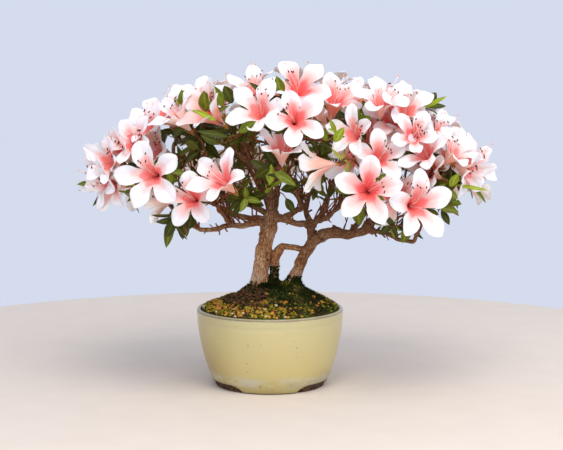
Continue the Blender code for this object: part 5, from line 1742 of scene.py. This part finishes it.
def build_mound():
    shares = np.concatenate([
        np.linspace(-0.96, 0, MOUND_TOP_RINGS + 1)[:-1], np.linspace(0, 1, MOUND_RINGS - MOUND_TOP_RINGS),
    ])
    grid = mound(*np.meshgrid(full_turn(MOUND_TURNS), shares))
    skirt = grid[-1] * (SKIRT_SHARE, SKIRT_SHARE, 1.0) - (0, 0, SKIRT_DROP)
    rings = np.concatenate([skirt[None], grid[::-1]])
    heap = Heap()
    heap.add(*capped(rings, [(0, 0, skirt[0, 2])], mound(np.zeros(1), np.full(1, -1.0))))
    soil = heap.make("earth", earth_finish(), "soil")
    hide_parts("soil")


def ball():
    """Points and triangles of a round pebble, before it is knocked about."""
    mesh = bmesh.new()
    bmesh.ops.create_icosphere(mesh, subdivisions=2, radius=1.0)
    mesh.verts.ensure_lookup_table()
    points = np.array([vert.co[:] for vert in mesh.verts])
    faces = np.array([[vert.index for vert in face.verts] for face in mesh.faces])
    mesh.free()
    return points, faces


GRANULES = {                # share of all, dark and light colour
    "ochre": (0.30, (0.20, 0.108, 0.008), (0.58, 0.34, 0.045)),
    "orange": (0.18, (0.29, 0.105, 0.014), (0.70, 0.32, 0.068)),
    "olive": (0.26, (0.075, 0.074, 0.004), (0.30, 0.275, 0.014)),
    "umber": (0.19, (0.030, 0.018, 0.008), (0.12, 0.065, 0.022)),
    "pale": (0.07, (0.42, 0.35, 0.15), (0.74, 0.64, 0.34)),
}
GRANULE_COUNT = 3000
GRANULE_RADIUS = (0.0008, 0.0018)
GRANULE_LIFT = 0.15         # as a share of the radius
GRANULES_EVERYWHERE = 0.03  # share of them that may lie among the moss


def grit_share(place, share):
    """How likely a granule is to lie here: most of all on the slope to the left."""
    patch = 0.35 * rough(place[None] * 60, 81, 2)[0]
    left = smooth_step(0.016, -0.016, place[0] + place[1] * 0.25 + 0.02 * patch)
    return (0.07 + 0.93 * left) * smooth_step(0.30, 0.62, share + patch) + GRANULES_EVERYWHERE


def build_granules(draw):
    points, faces = ball()
    shares_of_all = [share for share, _, _ in GRANULES.values()]
    heaps = {name: Heap() for name in GRANULES}
    for _ in range(GRANULE_COUNT):
        turn = draw.uniform(0, math.tau)
        share = draw.uniform(-0.6, 0.97) if draw.random() < 0.6 else draw.uniform(0.6, 0.97)
        place = mound(np.full(1, turn), np.full(1, share))[0]
        if draw.random() > grit_share(place, share):
            continue
        radius = draw.uniform(*GRANULE_RADIUS)
        shape = np.array([draw.uniform(0.75, 1.2), draw.uniform(0.75, 1.2), draw.uniform(0.6, 0.9)])
        knock = 1 + 0.22 * rough(points * 1.7 + draw.uniform(0, 90), 41, 2)[:, None]
        spin = draw.uniform(0, math.tau)
        x, y, z = (points * knock * shape).T
        pebble = np.stack([swing(x, -y, spin), swing(y, x, spin), z], 1) * radius
        name = pick(draw, list(GRANULES), shares_of_all)
        heaps[name].add(place + pebble + (0, 0, radius * GRANULE_LIFT), faces)
    for name, (_, dark, light) in GRANULES.items():
        finish = plain_finish(name + "_granule", dark, light, 520.0, 0.92, 0.0004)
        heaps[name].make(name + "_granules", finish, "soil")


def spikes(bases, tips, radii):
    """A thin three-sided cone from each base to its tip."""
    along = unit(tips - bases)
    side = unit(np.cross(along, (0.31, 0.87, 0.38)))
    other = np.cross(along, side)
    turns = (np.arange(3) * math.tau / 3)[:, None]
    ring = np.cos(turns) * side[:, None] + np.sin(turns) * other[:, None]
    points = np.concatenate([bases[:, None] + radii[:, None, None] * ring, tips[:, None]], axis=1)
    faces = np.array([(0, 1, 3), (1, 2, 3), (2, 0, 3), (2, 1, 0)])
    return points.reshape(-1, 3), (faces + 4 * np.arange(len(bases))[:, None, None]).reshape(-1, 3)


MOSS = {                    # dark and light colour
    "dark": ((0.007, 0.012, 0.003), (0.026, 0.036, 0.007)),
    "green": ((0.020, 0.030, 0.005), (0.072, 0.088, 0.014)),
    "yellow": ((0.125, 0.120, 0.014), (0.36, 0.32, 0.040)),
}
MOSS_TUFTS = 5600
MOSS_SPIKES = 6
MOSS_LENGTH = (0.0011, 0.0024)
MOSS_RADIUS = 0.00032
MOSS_ROOT = 0.0004          # a spike starts this far inside the soil
MOSS_SPREAD = 0.0007        # and this far from its tuft's middle
CLIMBS = (                  # limb, tufts, and the height that the moss climbs to
    ("stem_middle", 420, 0.1015), ("trunk_right", 420, 0.0930), ("trunk_left", 140, 0.0885),
)


def climbing_places(draw):
    """Places on the feet of the limbs, thinner with height."""
    out = []
    for name, count, top in CLIMBS:
        line = limb_line(name)
        for _ in range(count):
            height = SOIL_TOP + (top - SOIL_TOP) * draw.random() ** 1.15
            x, y, _, radius = line[np.abs(line[:, 2] - height).argmin()]
            turn = draw.uniform(0, math.tau)
            out.append((x + radius * math.cos(turn), y + radius * math.sin(turn), height))
    return np.array(out)


def moss_places(draw):
    """Places of the tufts, and the number of each one's kind, on the mound and up the trunks."""
    def each(low, high):
        return np.array([draw.uniform(low, high) for _ in range(MOSS_TUFTS)])

    turns, shares = each(0, math.tau), each(-1, 0.97)
    places = mound(turns, shares)
    right = smooth_step(-0.024, 0.004, places[:, 0] + places[:, 1] * 0.4)
    keep = each(0, 1) < 0.25 + 0.75 * right
    light = rough(places * 70, 51, 2) + 0.35 * each(-1, 1) + 0.25 * (shares - 0.4)
    kinds = np.where(light < 0.12, 0, np.where(light < 0.50, 1, 2))
    climbing = climbing_places(draw)
    climbing_kinds = [draw.choice((0, 0, 0, 1)) for _ in climbing]
    return np.vstack([places[keep], climbing]), np.append(kinds[keep], climbing_kinds)


def build_moss(draw):
    places, kinds = moss_places(draw)
    outward = unit((places - (SOIL_MIDDLE, 0, 0.045)) * (0.6, 0.6, 1.0))
    for number, (name, colours) in enumerate(MOSS.items()):
        chosen = kinds == number
        base, out = (np.repeat(rows[chosen], MOSS_SPIKES, axis=0) for rows in (places, outward))
        jitter = np.array([scatter(draw) for _ in base])
        length = np.array([draw.uniform(*MOSS_LENGTH) for _ in base])[:, None]
        base = base + jitter * MOSS_SPREAD * (1, 1, 0.2)
        way = unit(out + jitter[::-1] * 0.75)
        heap = Heap()
        heap.add(*spikes(base - way * MOSS_ROOT, base + way * length, np.full(len(base), MOSS_RADIUS)))
        heap.make(name + "_moss", plain_finish(name + "_moss", *colours, 650.0, 0.9), "soil", smooth=False)


STRANDS = 190
STRAND_ROWS, STRAND_SIDES = 6, 5
STRAND_LIFT = 0.0012
STRAND_BEND = 0.16
STRAND_RADII = (0.00032, 0.00016)


def build_litter(draw):
    """Dry strands and twiglets that lie on the mound to the left."""
    heap = Heap()
    for _ in range(STRANDS):
        turns = math.radians(draw.uniform(178, 262)) + np.array([0, draw.uniform(-0.22, 0.22)])
        shares = draw.uniform(0.04, 0.58) + np.array([0, draw.uniform(-0.10, 0.10)])
        start, end = mound(turns, shares) + (0, 0, STRAND_LIFT)
        bend = np.array([draw.uniform(-1, 1), draw.uniform(-1, 1), draw.uniform(0, 1)])
        bend = bend * np.linalg.norm(end - start) * STRAND_BEND
        t = np.linspace(0, 1, STRAND_ROWS)[:, None]
        line = start + (end - start) * t + bend * np.sin(math.pi * t)
        heap.add(*pipe(line, np.linspace(*STRAND_RADII, STRAND_ROWS), STRAND_SIDES))
    finish = plain_finish("dry_strand", (0.055, 0.024, 0.012), (0.24, 0.115, 0.055), 500.0, 0.85)
    heap.make("dry_strands", finish, "bark")


# Studio

FLOOR_RADIUS, FLOOR_SIDES = 0.48, 128
SKY_COLOUR, SKY_STRENGTH = (0.72, 0.775, 0.92, 1.0), 0.92
LAMPS = (                   # name, place, size, power and colour
    ("key", (0.10, -0.85, 1.30), 0.8, 14.0, (1.0, 0.94, 0.86)),
    ("fill", (0.9, -0.6, 0.75), 0.9, 5.0, (1.0, 0.96, 0.92)),
    ("low", (-0.30, -1.3, 0.22), 1.0, 3.4, (1.0, 0.93, 0.88)),
)
SENSOR_WIDTH = 36           # millimetres
NEAREST_SEEN = 0.05


def build_floor():
    disc = bpy.data.meshes.new("floor")
    turns = full_turn(FLOOR_SIDES)
    ring = [(FLOOR_RADIUS * math.cos(turn), FLOOR_RADIUS * math.sin(turn), 0) for turn in turns]
    disc.from_pydata([Vector(place) + AXIS for place in ring], [], [tuple(range(FLOOR_SIDES))])
    floor = add_object("floor", disc)
    paper = Finish("paper", Roughness=0.9)
    paper.set("Base Color", paper.mix(paper.noise(paper.at(), 30.0), (0.64, 0.57, 0.50), (0.70, 0.625, 0.55)))
    disc.materials.append(paper.material)


def build_sky():
    world = bpy.data.worlds.new("studio")
    bpy.context.scene.world = world
    world.use_nodes = True
    sky = world.node_tree.nodes["Background"]
    sky.inputs["Color"].default_value = SKY_COLOUR
    sky.inputs["Strength"].default_value = SKY_STRENGTH


def add_lamp(name, place, size, power, colour):
    data = bpy.data.lights.new(name, "AREA")
    data.size, data.energy, data.color = size, power, colour
    lamp = add_object(name, data)
    lamp.location = Vector(place) + AXIS
    lamp.rotation_euler = (AXIS + CROWN_MIDDLE - lamp.location).to_track_quat("-Z", "Y").to_euler()


def build_camera():
    camera = add_object("camera", bpy.data.cameras.new("camera"))
    camera.location = EYE + AXIS
    camera.rotation_euler = (math.radians(90 - EYE_DOWN), 0, 0)
    camera.data.sensor_width = SENSOR_WIDTH
    camera.data.lens = FOCAL
    camera.data.clip_start = NEAREST_SEEN
    bpy.context.scene.camera = camera
    bpy.context.scene.view_settings.view_transform = "Standard"


build_floor()
build_sky()
for lamp in LAMPS:
    add_lamp(*lamp)
build_camera()
build_pot()
build_mound()
ground_draw = random.Random(SEED + 9)
build_granules(ground_draw)
build_moss(ground_draw)
build_litter(ground_draw)
build_limbs()
build_knots()
build_crown()
